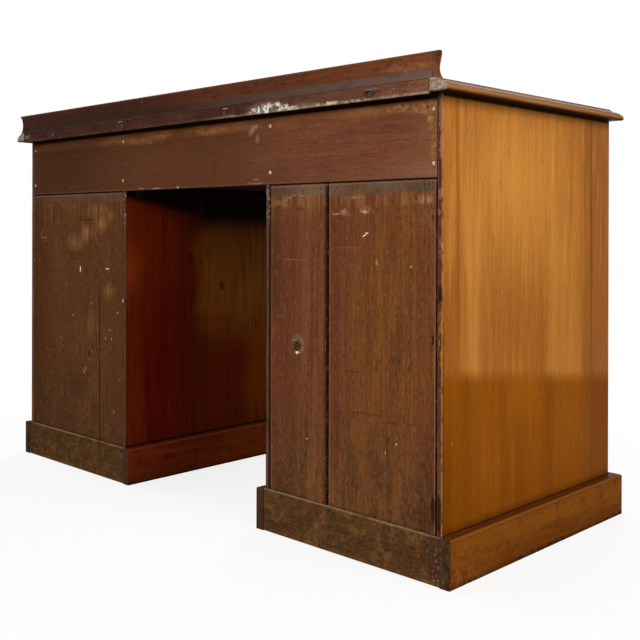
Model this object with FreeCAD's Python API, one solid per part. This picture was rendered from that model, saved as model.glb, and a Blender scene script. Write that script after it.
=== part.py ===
import FreeCAD, Part
import math
import os
from FreeCAD import Vector

# A writing desk of solid wood: two pedestals of three drawers, a kneehole that is open from front
# to back, three frieze drawers, a moulded top and a low gallery along its back.
# Millimetres, +Z up, the front faces -Y, the origin is under the middle of the whole desk.
# Left and right are those of a person who sits at the desk, so left is -X.

os.makedirs("parts", exist_ok=True)

# Carcass
carcass_width = 1200.0
carcass_depth = 514.0
writing_height = 752.0
kneehole_width = 430.0
outer_side_thickness = 25.0
inner_side_thickness = 20.0
housing_depth = 6.0

# Top
top_thickness = 20.0
top_moulding_width = 31.5
top_side_overhang = 25.0
top_front_overhang = 7.0
moulding_slope_inset = 18.0
moulding_slope_drop = 13.5
moulding_under_inset = 4.5
moulding_under_height = 2.5
# Places along the slope and down it, from its top arris: hollow, middle, swell
moulding_slope_shares = ((0.15, 0.22), (0.35, 0.36), (0.75, 0.64))
# The place on the rounded underside, from the nose inwards and down
moulding_turn_shares = (0.2, 0.67)

# Strip and gallery at the back of the top
rear_strip_depth = 24.0
rear_strip_height = 23.0
gallery_height = 39.0
gallery_base_thickness = 18.0
gallery_top_thickness = 5.0
gallery_round_height = 18.0
gallery_end_overhang = 11.5
gallery_scoop_radius = 26.0
gallery_scoop_height = 16.7
gallery_waist_inset = 1.0

# Plinth
plinth_height = 73.5
plinth_thickness = 18.0
plinth_rear_projection = 5.2
plinth_round = 4.0

# Back
rabbet_lip = 9.0
apron_thickness = 12.0
# How far the apron laps down past the floor of the frieze drawers
apron_lap = 3.0
back_board_thickness = 11.0
back_seam = 0.6
# Places of the joints between the back boards, from the outer side across each pedestal
left_joint_share = 0.608
right_joint_share = 0.745
left_joint_gap = 2.0
right_crack_gap = 2.0
right_crack_height = 300.0
back_rail_thickness = 16.0
back_rail_height = 40.0

# Rails and runners
rail_thickness = 16.0
rail_depth = 60.0
frieze_opening_height = 106.0
runner_width = 22.0
bottom_board_thickness = 18.0
glue_block_size = 22.0
glue_block_length = 60.0
glue_block_place_shares = (0.25, 0.75)
stop_thickness = 5.0
stop_width = 40.0
stop_length = 22.0
stop_clearance = 0.4

# Drawers
# Heights of the three pedestal drawers, from the top one down
graduation_shares = (0.305, 0.333, 0.362)
drawer_front_thickness = 20.0
drawer_side_thickness = 10.0
drawer_back_thickness = 10.0
drawer_bottom_thickness = 6.0
drawer_rear_gap = 8.0
drawer_side_gap = 0.8
drawer_top_gap = 1.4
front_bottom_gap = 0.6
runner_gap = 0.3
side_top_drop = 2.0
back_top_drop = 8.0
bottom_height_in_drawer = 7.0
bottom_groove_depth = 5.0
bead_width = 3.2
bead_projection = 1.6
# Corners of the bead's section, as shares of its width and its projection
bead_section_shares = ((0, 0), (0.16, 0.72), (0.5, 1), (0.84, 0.72), (1, 0), (0, 0))

# Dovetails
tail_pitch = 38.0
tail_width = 20.0
tail_flare = 2.2
lap_thickness = 6.0

# Knobs, turned with a waist and a low crown, and drawn with flats to keep them light
knob_radius = 18.0
knob_projection = 27.0
knob_flat_count = 18
# Radius and projection of each ring, from the drawer front to the crown
knob_ring_shares = ((0.70, 0.0), (0.46, 0.26), (0.62, 0.50), (1.0, 0.76), (0.58, 1.0))
# Distance of a knob from the middle of its drawer, as a share of the opening's width
knob_place_share = 0.27

# Locks
# The keyhole plate is a lozenge
escutcheon_width = 20.0
escutcheon_height = 34.0
escutcheon_thickness = 1.2
lock_width = 56.0
lock_height = 34.0
lock_depth = 9.0
key_height = 24.0
keyhole_radius = 2.4
keyhole_slot_width = 2.2
keyhole_slot_height = 9.0
keyhole_flat_count = 10

# Fixings
screw_head_radius = 4.4
screw_head_depth = 1.6
screw_shank_radius = 2.1
screw_length = 46.0
screw_slot_width = 1.0
screw_slot_depth = 0.9
screw_flat_count = 12
screw_height_in_strip = 13.5
# Places along the carcass, from the left side
screw_shares = (0.102, 0.393, 0.662, 0.888)
nail_width = 4.2
nail_height = 3.0
nail_length = 26.0
apron_nail_edge = 22.0
back_nail_edge = 18.0
back_nail_drop = 10.0

# One overrun for every cut that has to pass a face
overrun = 5.0

# Worked out from the sizes above
half_width = carcass_width / 2
front_reach = max(knob_projection, plinth_thickness, top_front_overhang)
rear_y = (carcass_depth + front_reach - rear_strip_depth) / 2
front_y = rear_y - carcass_depth
back_y = rear_y - apron_thickness
back_rail_y = back_y - back_rail_thickness
rail_rear_y = front_y + rail_depth
outer_inner_x = half_width - outer_side_thickness
knee_x = kneehole_width / 2
inner_outer_x = knee_x + inner_side_thickness
under_top = writing_height - top_thickness
top_rail_bottom = under_top - rail_thickness
frieze_bottom = top_rail_bottom - frieze_opening_height
frieze_rail_height = frieze_bottom - rail_thickness
apron_bottom_height = frieze_bottom - apron_lap
pedestal_floor = plinth_height + bottom_board_thickness
rear_plinth_y = rear_y + plinth_rear_projection - plinth_thickness
nose_x = half_width + top_side_overhang
nose_y = front_y - top_front_overhang
top_edge_x = nose_x - top_moulding_width
top_edge_y = nose_y + top_moulding_width
strip_rear_y = rear_y + rear_strip_depth
drawer_shoulder_y = front_y + drawer_front_thickness
drawer_rear_y = back_rail_y - drawer_rear_gap
tail_length = drawer_front_thickness - lap_thickness


def block(x0, x1, y0, y1, z0, z1):
    return Part.makeBox(x1 - x0, y1 - y0, z1 - z0, Vector(x0, y0, z0))


def plate(points, direction):
    """A flat outline, pushed along a direction."""
    wire = Part.makePolygon(points + points[:1])
    return Part.Face(wire).extrude(direction)


def turned(x, z, rings, flats):
    """A turned piece on an axis along Y, drawn with flats; rings are (radius, y) pairs."""
    turns = [2 * math.pi * index / flats for index in range(flats)]
    outlines = [[Vector(x + radius * math.cos(turn), y, z + radius * math.sin(turn)) for turn in turns]
                for radius, y in rings]
    ends = (outlines[0], outlines[-1])
    faces = [Part.Face(Part.makePolygon(points + points[:1])) for points in ends]
    for near, far in zip(outlines, outlines[1:]):
        for index in range(flats):
            quad = [near[index - 1], near[index], far[index], far[index - 1]]
            faces.append(Part.Face(Part.makePolygon(quad + quad[:1])))
    return Part.makeSolid(Part.makeShell(faces))


def mirrored(shape):
    return shape.mirror(Vector(0, 0, 0), Vector(1, 0, 0))


def both_sides(shape):
    return [shape, mirrored(shape)]


def save(name, shapes):
    solids = [solid for shape in shapes for solid in shape.Solids]
    node = solids[0] if len(solids) == 1 else Part.makeCompound(solids)
    node.exportStep("parts/" + name + ".step")


# Levels of the drawer openings, from the top of the pedestal down

def pedestal_openings():
    """Bottom and top of each pedestal drawer's opening."""
    rails = len(graduation_shares) - 1
    room = frieze_rail_height - pedestal_floor - rails * rail_thickness
    openings = []
    top = frieze_rail_height
    for share in graduation_shares:
        bottom = top - share * room
        openings.append((bottom, top))
        top = bottom - rail_thickness
    return openings


def rail_levels():
    """Underside of each rail between the drawers of a pedestal."""
    levels = [frieze_rail_height]
    for bottom, top in pedestal_openings()[:-1]:
        levels.append(bottom - rail_thickness)
    return levels


# Rails, runners and bottoms

def pedestal_rail(level):
    return block(inner_outer_x - housing_depth, outer_inner_x + housing_depth,
                 front_y, rail_rear_y, level, level + rail_thickness)


def kneehole_rail():
    return block(-knee_x - housing_depth, knee_x + housing_depth,
                 front_y, rail_rear_y, frieze_rail_height, frieze_bottom)


def top_rail():
    reach = outer_inner_x + housing_depth
    return block(-reach, reach, front_y, rail_rear_y, top_rail_bottom, under_top)


def back_rail():
    """The apron and the back boards meet over its middle."""
    return block(inner_outer_x - housing_depth, outer_inner_x + housing_depth, back_rail_y, back_y,
                 apron_bottom_height - back_rail_height / 2, apron_bottom_height + back_rail_height / 2)


def bottom_board():
    return block(inner_outer_x - housing_depth, outer_inner_x + housing_depth,
                 front_y, back_y, plinth_height, pedestal_floor)


def runner(side_x, inward, level):
    """A strip along a side, from the rail to the plane of the back rail."""
    edges = sorted((side_x, side_x + inward * runner_width))
    return block(edges[0], edges[1], rail_rear_y, back_rail_y, level, level + rail_thickness)


def drawer_runners():
    strips = []
    for level in rail_levels() + [top_rail_bottom]:
        strips += both_sides(runner(outer_inner_x, -1, level))
        strips += both_sides(runner(inner_outer_x, 1, level))
    for level in (frieze_rail_height, top_rail_bottom):
        strips += both_sides(runner(knee_x, -1, level))
    return strips


def drawer_stop(x, floor):
    y = drawer_shoulder_y + stop_clearance
    return block(x, x + stop_width, y, y + stop_length, floor, floor + stop_thickness)


def drawer_stops():
    """Two small blocks behind each drawer front, glued to what the drawer runs on."""
    floors = [frieze_bottom] + [bottom for bottom, top in pedestal_openings()]
    stops = []
    for floor in floors:
        for x in (inner_outer_x + 2 * runner_width, outer_inner_x - 2 * runner_width - stop_width):
            stops += both_sides(drawer_stop(x, floor))
    return stops + both_sides(drawer_stop(knee_x - 2 * runner_width - stop_width, frieze_bottom))


def glue_blocks():
    """Blocks in the corner between a bottom board and the sides, inside the plinth."""
    blocks = []
    for share in glue_block_place_shares:
        y = front_y + share * (back_y - front_y)
        for x in (inner_outer_x, outer_inner_x - glue_block_size):
            blocks += both_sides(block(x, x + glue_block_size,
                                       y - glue_block_length / 2, y + glue_block_length / 2,
                                       plinth_height - glue_block_size, plinth_height))
    return blocks


# Sides

def side_outline(x):
    """A side seen from the end of the desk, let in at the bottom for the rear plinth board."""
    return [Vector(x, front_y, 0), Vector(x, rear_plinth_y, 0), Vector(x, rear_plinth_y, plinth_height),
            Vector(x, rear_y, plinth_height), Vector(x, rear_y, under_top), Vector(x, front_y, under_top)]


def outer_side():
    board = plate(side_outline(outer_inner_x), Vector(outer_side_thickness, 0, 0))
    rabbet = block(outer_inner_x - overrun, half_width - rabbet_lip, back_y, rear_y + overrun,
                   plinth_height, under_top + overrun)
    housings = [pedestal_rail(level) for level in rail_levels()]
    return board.cut([rabbet, bottom_board(), back_rail(), top_rail()] + housings + apron_nails())


def inner_side():
    board = plate(side_outline(knee_x), Vector(inner_side_thickness, 0, 0))
    rabbet = block(knee_x + rabbet_lip, inner_outer_x + overrun, back_y, rear_y + overrun,
                   plinth_height, apron_bottom_height)
    apron_notch = block(knee_x - overrun, inner_outer_x + overrun, back_y, rear_y + overrun,
                        apron_bottom_height, under_top + overrun)
    housings = [pedestal_rail(level) for level in rail_levels()]
    crossings = [bottom_board(), back_rail(), top_rail(), kneehole_rail()]
    return board.cut([rabbet, apron_notch] + crossings + housings + apron_nails())


# Back

def nail(x, z):
    """A cut brad, driven forwards until it is flush with the back of its board."""
    return block(x - nail_width / 2, x + nail_width / 2, rear_y - nail_length, rear_y,
                 z - nail_height / 2, z + nail_height / 2)


def apron_nails():
    nails = []
    side_x = half_width - (rabbet_lip + outer_side_thickness) / 2
    inner_x = knee_x + inner_side_thickness / 2
    for z in (apron_bottom_height + apron_nail_edge, under_top - apron_nail_edge):
        for x in (side_x, inner_x):
            nails += both_sides(nail(x, z))
    return nails


def board_nails(x0, x1):
    """Nails through the top and the bottom of a back board, near its two edges."""
    recess = Vector(0, back_board_thickness - apron_thickness, 0)
    bottom_z = plinth_height + bottom_board_thickness / 2
    top_z = apron_bottom_height - back_nail_drop
    nails = []
    for z in (bottom_z, top_z):
        for x in (x0 + back_nail_edge, x1 - back_nail_edge):
            nails.append(nail(x, z).translated(recess))
    return nails


def rear_apron():
    reach = half_width - rabbet_lip
    board = block(-reach, reach, back_y, rear_y, apron_bottom_height, under_top)
    return board.cut(apron_nails())


def back_board(x0, x1):
    return block(x0, x1, back_y, back_y + back_board_thickness,
                 plinth_height, apron_bottom_height - back_seam)


def left_board_edges():
    """The left pedestal has a wide outer board and a narrow inner one, with an open joint."""
    joint = left_joint_share * (half_width - knee_x) - half_width
    return ((rabbet_lip - half_width, joint - left_joint_gap / 2),
            (joint + left_joint_gap / 2, -knee_x - rabbet_lip))


def back_boards_left():
    boards = []
    nails = []
    for x0, x1 in left_board_edges():
        board_fixings = board_nails(x0, x1)
        boards.append(back_board(x0, x1).cut(board_fixings))
        nails += board_fixings
    return boards, nails


def back_boards_right():
    """The right pedestal's two boards meet, and have drawn apart below as they shrank."""
    joint = half_width - right_joint_share * (half_width - knee_x)
    inner = (knee_x + rabbet_lip, joint)
    outer = (joint, half_width - rabbet_lip)
    crack = plate([Vector(joint, back_y - overrun, plinth_height),
                   Vector(joint + right_crack_gap, back_y - overrun, plinth_height),
                   Vector(joint, back_y - overrun, plinth_height + right_crack_height)],
                  Vector(0, apron_thickness + 2 * overrun, 0))
    boards = []
    nails = []
    for x0, x1 in (inner, outer):
        board_fixings = board_nails(x0, x1)
        boards.append(back_board(x0, x1).cut(board_fixings + [crack]))
        nails += board_fixings
    return boards, nails


# Plinth

def rounded_top(outline, outer_start, outer_end):
    """A plinth board whose outer top arris, between two of its corners, is rounded."""
    up = Vector(0, 0, plinth_height)
    board = plate(outline, up)
    arris_middle = (outer_start + outer_end) / 2 + up
    arris = min(board.Edges, key=lambda edge: edge.CenterOfMass.distanceToPoint(arris_middle))
    return board.makeFillet(plinth_round, [arris])


def plinth_side_board(face_x, outward):
    """A board on the outside of a side, mitred to the front board."""
    outer_x = face_x + outward * plinth_thickness
    rear = rear_y + plinth_rear_projection
    outer_front = Vector(outer_x, front_y - plinth_thickness, 0)
    outer_rear = Vector(outer_x, rear, 0)
    return rounded_top([Vector(face_x, front_y, 0), outer_front, outer_rear, Vector(face_x, rear, 0)],
                       outer_front, outer_rear)


def plinth_front_board():
    front = front_y - plinth_thickness
    outer_end = Vector(half_width + plinth_thickness, front, 0)
    inner_end = Vector(knee_x - plinth_thickness, front, 0)
    return rounded_top([Vector(knee_x, front_y, 0), Vector(half_width, front_y, 0), outer_end, inner_end],
                       outer_end, inner_end)


def plinth_rear_board():
    return block(knee_x, half_width, rear_plinth_y, rear_y + plinth_rear_projection, 0, plinth_height)


# Top

def moulding_section():
    """The moulded edge, as (distance in from the nose, height) pairs joined by arcs."""
    top = writing_height
    hollow, middle, swell = [(moulding_slope_inset * (1 - along), top - moulding_slope_drop * down)
                             for along, down in moulding_slope_shares]
    nose_top = (0, top - moulding_slope_drop)
    nose_bottom = (0, under_top + moulding_under_height)
    under = (moulding_under_inset, under_top)
    turn_inset_share, turn_drop_share = moulding_turn_shares
    turn = (turn_inset_share * moulding_under_inset,
            nose_bottom[1] + turn_drop_share * (under_top - nose_bottom[1]))
    arcs = (((moulding_slope_inset, top), hollow, middle), (middle, swell, nose_top),
            (nose_bottom, turn, under))
    return arcs, ((top_moulding_width, top), (top_moulding_width, under_top))


def moulding_face(place):
    """The section as a face; place turns an (inset, height) pair into a point."""
    arcs, inner = moulding_section()
    slope, nose, under = [Part.Arc(*[place(point) for point in arc]).toShape() for arc in arcs]
    flat = Part.makeLine(place(arcs[1][2]), place(arcs[2][0]))
    rest = Part.makePolygon([place(arcs[2][2]), place(inner[1]), place(inner[0]), place(arcs[0][0])])
    return Part.Face(Part.Wire([slope, nose, flat, under] + rest.Edges))


def top_moulding_side():
    face = moulding_face(lambda point: Vector(nose_x - point[0], nose_y, point[1]))
    length = face.extrude(Vector(0, strip_rear_y - nose_y, 0))
    keep = plate([Vector(nose_x, nose_y, under_top), Vector(nose_x, strip_rear_y, under_top),
                  Vector(top_edge_x, strip_rear_y, under_top), Vector(top_edge_x, top_edge_y, under_top)],
                 Vector(0, 0, top_thickness))
    return length.common(keep)


def top_moulding_front():
    face = moulding_face(lambda point: Vector(-nose_x, nose_y + point[0], point[1]))
    length = face.extrude(Vector(2 * nose_x, 0, 0))
    keep = plate([Vector(-nose_x, nose_y, under_top), Vector(nose_x, nose_y, under_top),
                  Vector(top_edge_x, top_edge_y, under_top), Vector(-top_edge_x, top_edge_y, under_top)],
                 Vector(0, 0, top_thickness))
    return length.common(keep)


def screw(x):
    """A slotted screw, driven forwards through the rear strip into the edge of the top."""
    neck_y = strip_rear_y - screw_head_depth
    rings = [(screw_shank_radius, strip_rear_y - screw_length), (screw_shank_radius, neck_y),
             (screw_head_radius, neck_y), (screw_head_radius, strip_rear_y)]
    return turned(x, writing_height - screw_height_in_strip, rings, screw_flat_count)


def screw_slot(x):
    z = writing_height - screw_height_in_strip
    return block(x - screw_slot_width / 2, x + screw_slot_width / 2,
                 strip_rear_y - screw_slot_depth, strip_rear_y + overrun,
                 z - screw_head_radius - overrun, z + screw_head_radius + overrun)


def screw_places():
    return [share * carcass_width - half_width for share in screw_shares]


def top_board():
    board = block(-top_edge_x, top_edge_x, top_edge_y, rear_y, under_top, writing_height)
    return board.cut([screw(x) for x in screw_places()])


def rear_strip():
    board = block(-top_edge_x, top_edge_x, rear_y, strip_rear_y,
                  writing_height - rear_strip_height, writing_height)
    return board.cut([screw(x) for x in screw_places()])


def gallery():
    """The upstand: its front is rounded over to a thin top edge, and its ends are scooped."""
    reach = half_width + gallery_end_overhang
    top = writing_height + gallery_height
    shoulder = top - gallery_round_height
    round_depth = gallery_base_thickness - gallery_top_thickness
    crown = Vector(-reach, strip_rear_y - gallery_top_thickness, top)
    spring = Vector(-reach, strip_rear_y - gallery_base_thickness, shoulder)
    half_way = Vector(-reach, crown.y - round_depth * math.sin(math.pi / 4),
                      shoulder + gallery_round_height * math.cos(math.pi / 4))
    rest = Part.makePolygon([spring, Vector(-reach, spring.y, writing_height),
                             Vector(-reach, strip_rear_y, writing_height),
                             Vector(-reach, strip_rear_y, top), crown])
    face = Part.Face(Part.Wire([Part.Arc(crown, half_way, spring).toShape()] + rest.Edges))
    board = face.extrude(Vector(2 * reach, 0, 0))
    scoop_x = half_width - gallery_waist_inset + gallery_scoop_radius
    scoop = Part.makeCylinder(gallery_scoop_radius, gallery_base_thickness + 2 * overrun,
                              Vector(scoop_x, strip_rear_y + overrun, writing_height + gallery_scoop_height),
                              Vector(0, -1, 0))
    return board.cut(both_sides(scoop))


# Drawers

def tail_centres(z0, z1):
    """Heights of the tails, evenly spaced with half a pin at each end."""
    count = max(1, math.floor((z1 - z0) / tail_pitch))
    step = (z1 - z0) / count
    return [z0 + step * (index + 1 / 2) for index in range(count)]


def tail(x0, x1, root_y, end_y, z):
    """One tail, across the thickness of a drawer side; it widens towards its end."""
    root = tail_width / 2 - tail_flare
    end = tail_width / 2
    return plate([Vector(x0, root_y, z - root), Vector(x0, end_y, z - end),
                  Vector(x0, end_y, z + end), Vector(x0, root_y, z + root)], Vector(x1 - x0, 0, 0))


def keyhole(x, z, y0, y1):
    hole = turned(x, z, [(keyhole_radius, y0), (keyhole_radius, y1)], keyhole_flat_count)
    slot = block(x - keyhole_slot_width / 2, x + keyhole_slot_width / 2, y0, y1, z - keyhole_slot_height, z)
    return hole.fuse(slot)


def bead(x0, x1, z0, z1):
    """A bevelled bead that runs around the edge of a drawer front and stands proud of it."""
    path = Part.makePolygon([Vector(x0, front_y, z0), Vector(x1, front_y, z0), Vector(x1, front_y, z1),
                             Vector(x0, front_y, z1), Vector(x0, front_y, z0)])
    middle = (x0 + x1) / 2
    section = Part.makePolygon([Vector(middle, front_y - proud * bead_projection, z0 + across * bead_width)
                                for across, proud in bead_section_shares])
    return path.makePipeShell([section], True, False, 1)


def knob(x, z):
    rings = [(radius * knob_radius, front_y - projection * knob_projection)
             for radius, projection in knob_ring_shares]
    return turned(x, z, rings, knob_flat_count)


def drawer(name, x0, x1, z0, z1):
    """One drawer, for the opening from x0 to x1 and from z0 to z1."""
    left = x0 + drawer_side_gap
    right = x1 - drawer_side_gap
    middle = (x0 + x1) / 2
    front_bottom = z0 + front_bottom_gap
    front_top = z1 - drawer_top_gap
    side_bottom = z0 + runner_gap
    side_top = front_top - side_top_drop
    bottom_z = side_bottom + bottom_height_in_drawer
    bottom_top = bottom_z + drawer_bottom_thickness
    back_top = side_top - back_top_drop
    back_front_y = drawer_rear_y - drawer_back_thickness
    side_places = ((left, left + drawer_side_thickness), (right - drawer_side_thickness, right))

    front_tails = []
    back_tails = []
    for a, b in side_places:
        for z in tail_centres(bottom_top, side_top):
            front_tails.append(tail(a, b, drawer_shoulder_y, drawer_shoulder_y - tail_length, z))
        for z in tail_centres(bottom_top, back_top):
            back_tails.append(tail(a, b, back_front_y, drawer_rear_y, z))

    bottom = block(left + drawer_side_thickness - bottom_groove_depth,
                   right - drawer_side_thickness + bottom_groove_depth,
                   drawer_shoulder_y - bottom_groove_depth, drawer_rear_y, bottom_z, bottom_top)
    back = block(left, right, back_front_y, drawer_rear_y, bottom_top, back_top).cut(back_tails)
    sides = []
    for a, b in side_places:
        board = block(a, b, drawer_shoulder_y, drawer_rear_y, side_bottom, side_top).cut([back, bottom])
        own_tails = [piece for piece in front_tails if a < piece.CenterOfMass.x < b]
        sides.append(board.fuse(own_tails).removeSplitter())

    lock_case = block(middle - lock_width / 2, middle + lock_width / 2,
                      drawer_shoulder_y - lock_depth, drawer_shoulder_y, front_top - lock_height, front_top)
    key_z = front_top - key_height
    key_cut = keyhole(middle, key_z, front_y - overrun, drawer_shoulder_y - lock_depth)
    plate_z = key_z - (keyhole_slot_height - keyhole_radius) / 2
    lozenge = [Vector(middle + escutcheon_width / 2, front_y, plate_z),
               Vector(middle, front_y, plate_z + escutcheon_height / 2),
               Vector(middle - escutcheon_width / 2, front_y, plate_z),
               Vector(middle, front_y, plate_z - escutcheon_height / 2)]
    escutcheon = plate(lozenge, Vector(0, -escutcheon_thickness, 0)).cut(key_cut)

    board = block(left, right, front_y, drawer_shoulder_y, front_bottom, front_top)
    face = board.fuse(bead(left, right, front_bottom, front_top)).removeSplitter()
    face = face.cut(front_tails + [bottom, lock_case, key_cut])

    knob_offset = knob_place_share * (x1 - x0)
    knob_z = (front_bottom + front_top) / 2
    save(name + "_front", [face])
    save(name + "_box", sides + [back, bottom])
    save(name + "_knobs", [knob(middle - knob_offset, knob_z), knob(middle + knob_offset, knob_z)])
    save(name + "_lock", [lock_case, escutcheon])


def drawers():
    drawer("frieze_left", -outer_inner_x, -inner_outer_x, frieze_bottom, top_rail_bottom)
    drawer("frieze_centre", -knee_x, knee_x, frieze_bottom, top_rail_bottom)
    drawer("frieze_right", inner_outer_x, outer_inner_x, frieze_bottom, top_rail_bottom)
    for place, (z0, z1) in zip(("top", "middle", "bottom"), pedestal_openings()):
        drawer("left_" + place, -outer_inner_x, -inner_outer_x, z0, z1)
        drawer("right_" + place, inner_outer_x, outer_inner_x, z0, z1)


def carcass():
    save("outer_side_right", [outer_side()])
    save("outer_side_left", [mirrored(outer_side())])
    save("inner_side_right", [inner_side()])
    save("inner_side_left", [mirrored(inner_side())])
    left_boards, left_nails = back_boards_left()
    right_boards, right_nails = back_boards_right()
    save("back_boards_left", left_boards)
    save("back_boards_right", right_boards)
    save("rear_apron", [rear_apron()])
    save("top_board", [top_board()])
    save("top_moulding_right", [top_moulding_side()])
    save("top_moulding_left", [mirrored(top_moulding_side())])
    save("top_moulding_front", [top_moulding_front()])
    save("rear_strip", [rear_strip()])
    save("gallery", [gallery()])
    save("plinth_outer_boards", both_sides(plinth_side_board(half_width, 1)))
    save("plinth_inner_boards", both_sides(plinth_side_board(knee_x, -1)))
    save("plinth_front_boards", both_sides(plinth_front_board()))
    save("plinth_rear_boards", both_sides(plinth_rear_board()))
    nails = left_nails + right_nails
    bottoms = [board.cut(nails) for board in both_sides(bottom_board())]
    save("pedestal_bottoms", bottoms + glue_blocks())
    save("top_rail", [top_rail()])
    rails = [kneehole_rail()]
    for level in rail_levels():
        rails += both_sides(pedestal_rail(level))
    save("drawer_rails", rails)
    save("back_rails", [rail.cut(nails) for rail in both_sides(back_rail())])
    save("drawer_runners", drawer_runners())
    save("drawer_stops", drawer_stops())
    screws = [screw(x).cut(screw_slot(x)) for x in screw_places()]
    save("rear_fixings", screws + apron_nails() + nails)


carcass()
drawers()
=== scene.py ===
"""A pedestal writing desk in old mahogany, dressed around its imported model.

The frame is loaded first. Each piece or group of like pieces has its own operator, the sizes and
colours that one may want to change are properties of the scene, and main() calls the operators in
order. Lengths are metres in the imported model's own frame: the desk's front faces -Y, and Z is up.
The finishes are recipes, written as text above the class that follows them.
"""

import math
import re

import bmesh
import bpy
from bpy.props import FloatProperty, FloatVectorProperty, IntProperty, PointerProperty
from mathutils import Matrix, Vector, noise


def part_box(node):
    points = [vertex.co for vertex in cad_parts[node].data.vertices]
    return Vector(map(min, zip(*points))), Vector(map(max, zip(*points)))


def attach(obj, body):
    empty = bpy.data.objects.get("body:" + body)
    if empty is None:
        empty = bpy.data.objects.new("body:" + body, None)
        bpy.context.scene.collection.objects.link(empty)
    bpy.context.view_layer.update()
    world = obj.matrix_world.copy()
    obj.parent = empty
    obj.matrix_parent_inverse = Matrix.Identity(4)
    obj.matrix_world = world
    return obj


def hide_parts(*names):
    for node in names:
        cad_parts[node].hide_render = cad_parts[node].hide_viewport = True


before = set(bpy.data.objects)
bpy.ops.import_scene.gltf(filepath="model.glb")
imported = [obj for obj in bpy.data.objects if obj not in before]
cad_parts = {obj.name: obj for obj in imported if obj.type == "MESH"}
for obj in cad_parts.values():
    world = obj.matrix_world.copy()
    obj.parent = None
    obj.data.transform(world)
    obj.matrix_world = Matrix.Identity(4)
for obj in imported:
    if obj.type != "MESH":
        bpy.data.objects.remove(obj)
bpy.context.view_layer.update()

bl_info = {
    "name": "Pedestal writing desk",
    "version": (1, 0, 0),
    "blender": (4, 5, 0),
    "location": "View3D > Sidebar > Desk",
    "description": "Dresses the packed desk: worn boards, moulded top, beaded drawers, knobs, screws, stage",
    "category": "Object",
}

MM = 0.001
DRAWERS = ("frieze_left frieze_centre frieze_right left_top left_middle left_bottom "
           "right_top right_middle right_bottom").split()
REAR_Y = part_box("rear_apron")[1].y
STRIP_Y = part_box("rear_strip")[1].y
SIDE_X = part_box("outer_side_right")[1].x
KNEE_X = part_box("inner_side_right")[0].x


def tone(code):
    """A screen colour, written as six hexadecimal figures, as linear red, green and blue."""
    levels = [int(code[at:at + 2], 16) / 255 for at in (0, 2, 4)]
    return tuple(level / 12.92 if level <= 0.04045 else ((level + 0.055) / 1.055) ** 2.4 for level in levels)


# Properties

def length(name, description, default):
    return FloatProperty(name=name, description=description, default=default, min=0.0, subtype="DISTANCE",
                         unit="LENGTH", precision=4)


def sides(name, description, default):
    return IntProperty(name=name, description=description, default=default, min=6, max=96)


def colour(name, description, code):
    return FloatVectorProperty(name=name, description=description, default=tone(code), min=0.0, max=1.0,
                               size=3, subtype="COLOR")


class DeskSizes(bpy.types.PropertyGroup):
    """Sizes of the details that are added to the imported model."""
    arris: length("Arris", "How far the long edges of the polished boards are rubbed off", 0.0011)
    back_arris: length("Back arris", "How far the long edges of the back boards are rubbed off", 0.0007)
    plinth_arris: length("Plinth arris", "How far the knocked edges of the plinth are rounded", 0.0024)
    bead: length("Bead", "Width of the round bead along the edges of a drawer front", 0.0034)
    bead_sides: sides("Bead sides", "Faces round a bead", 14)
    knob_sides: sides("Knob sides", "Faces round a turned knob", 48)
    screw_head: length("Screw head", "Radius of the slotted screws in the rear strip", 0.0043)
    nail_head: length("Nail head", "Half the width of the cut nails' heads in the back", 0.0021)
    putty: length("Putty", "Radius of the stopping over the nails of the apron", 0.0031)
    pin: length("Escutcheon pin", "Radius of the pins of the keyhole plates", 0.0012)


class DeskColours(bpy.types.PropertyGroup):
    """Colours of the finishes."""
    # The light and middle polish colours hold a painted reflection: the haze that the polish shows of
    # bright surroundings high on the sides, which the amber foot lacks.
    polish_light: colour("Polished, light", "The paler figure of the sides, high up", "b9742f")
    polish_mid: colour("Polished, middle", "The polished sides", "a2632a")
    polish_low: colour("Polished, low", "The amber foot of the sides", "864602")
    polish_streak: colour("Polished, streak", "The dark lines in the sides", "6e3d10")
    front_light: colour("Front, light", "The paler figure of the drawer fronts", "a0622a")
    front_dark: colour("Front, dark", "The darker figure of the drawer fronts", "6c3814")
    knee_red: colour("Kneehole, red", "The shaded polish in the kneehole", "4f0c02")
    knee_brown: colour("Kneehole, brown", "The brown part of the kneehole's lining", "764112")
    back_light: colour("Back, light", "The paler lines of the back boards", "885628")
    back_dark: colour("Back, dark", "The red-brown stain of the back boards", "6a3e24")
    gallery_tone: colour("Gallery", "The gallery", "6c3c20")
    plinth_tone: colour("Plinth", "The polished boards of the plinth", "6e3b0e")
    pine_tone: colour("Pine", "The drawers' insides and the runners", "a87c4c")
    brass_tone: colour("Brass", "Locks and keyhole plates", "9a7a3a")
    steel_tone: colour("Steel", "Screws and nails", "4a4038")
    putty_tone: colour("Putty", "The stopping over the nails", "d4bc94")


# Small helpers for node trees

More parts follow.
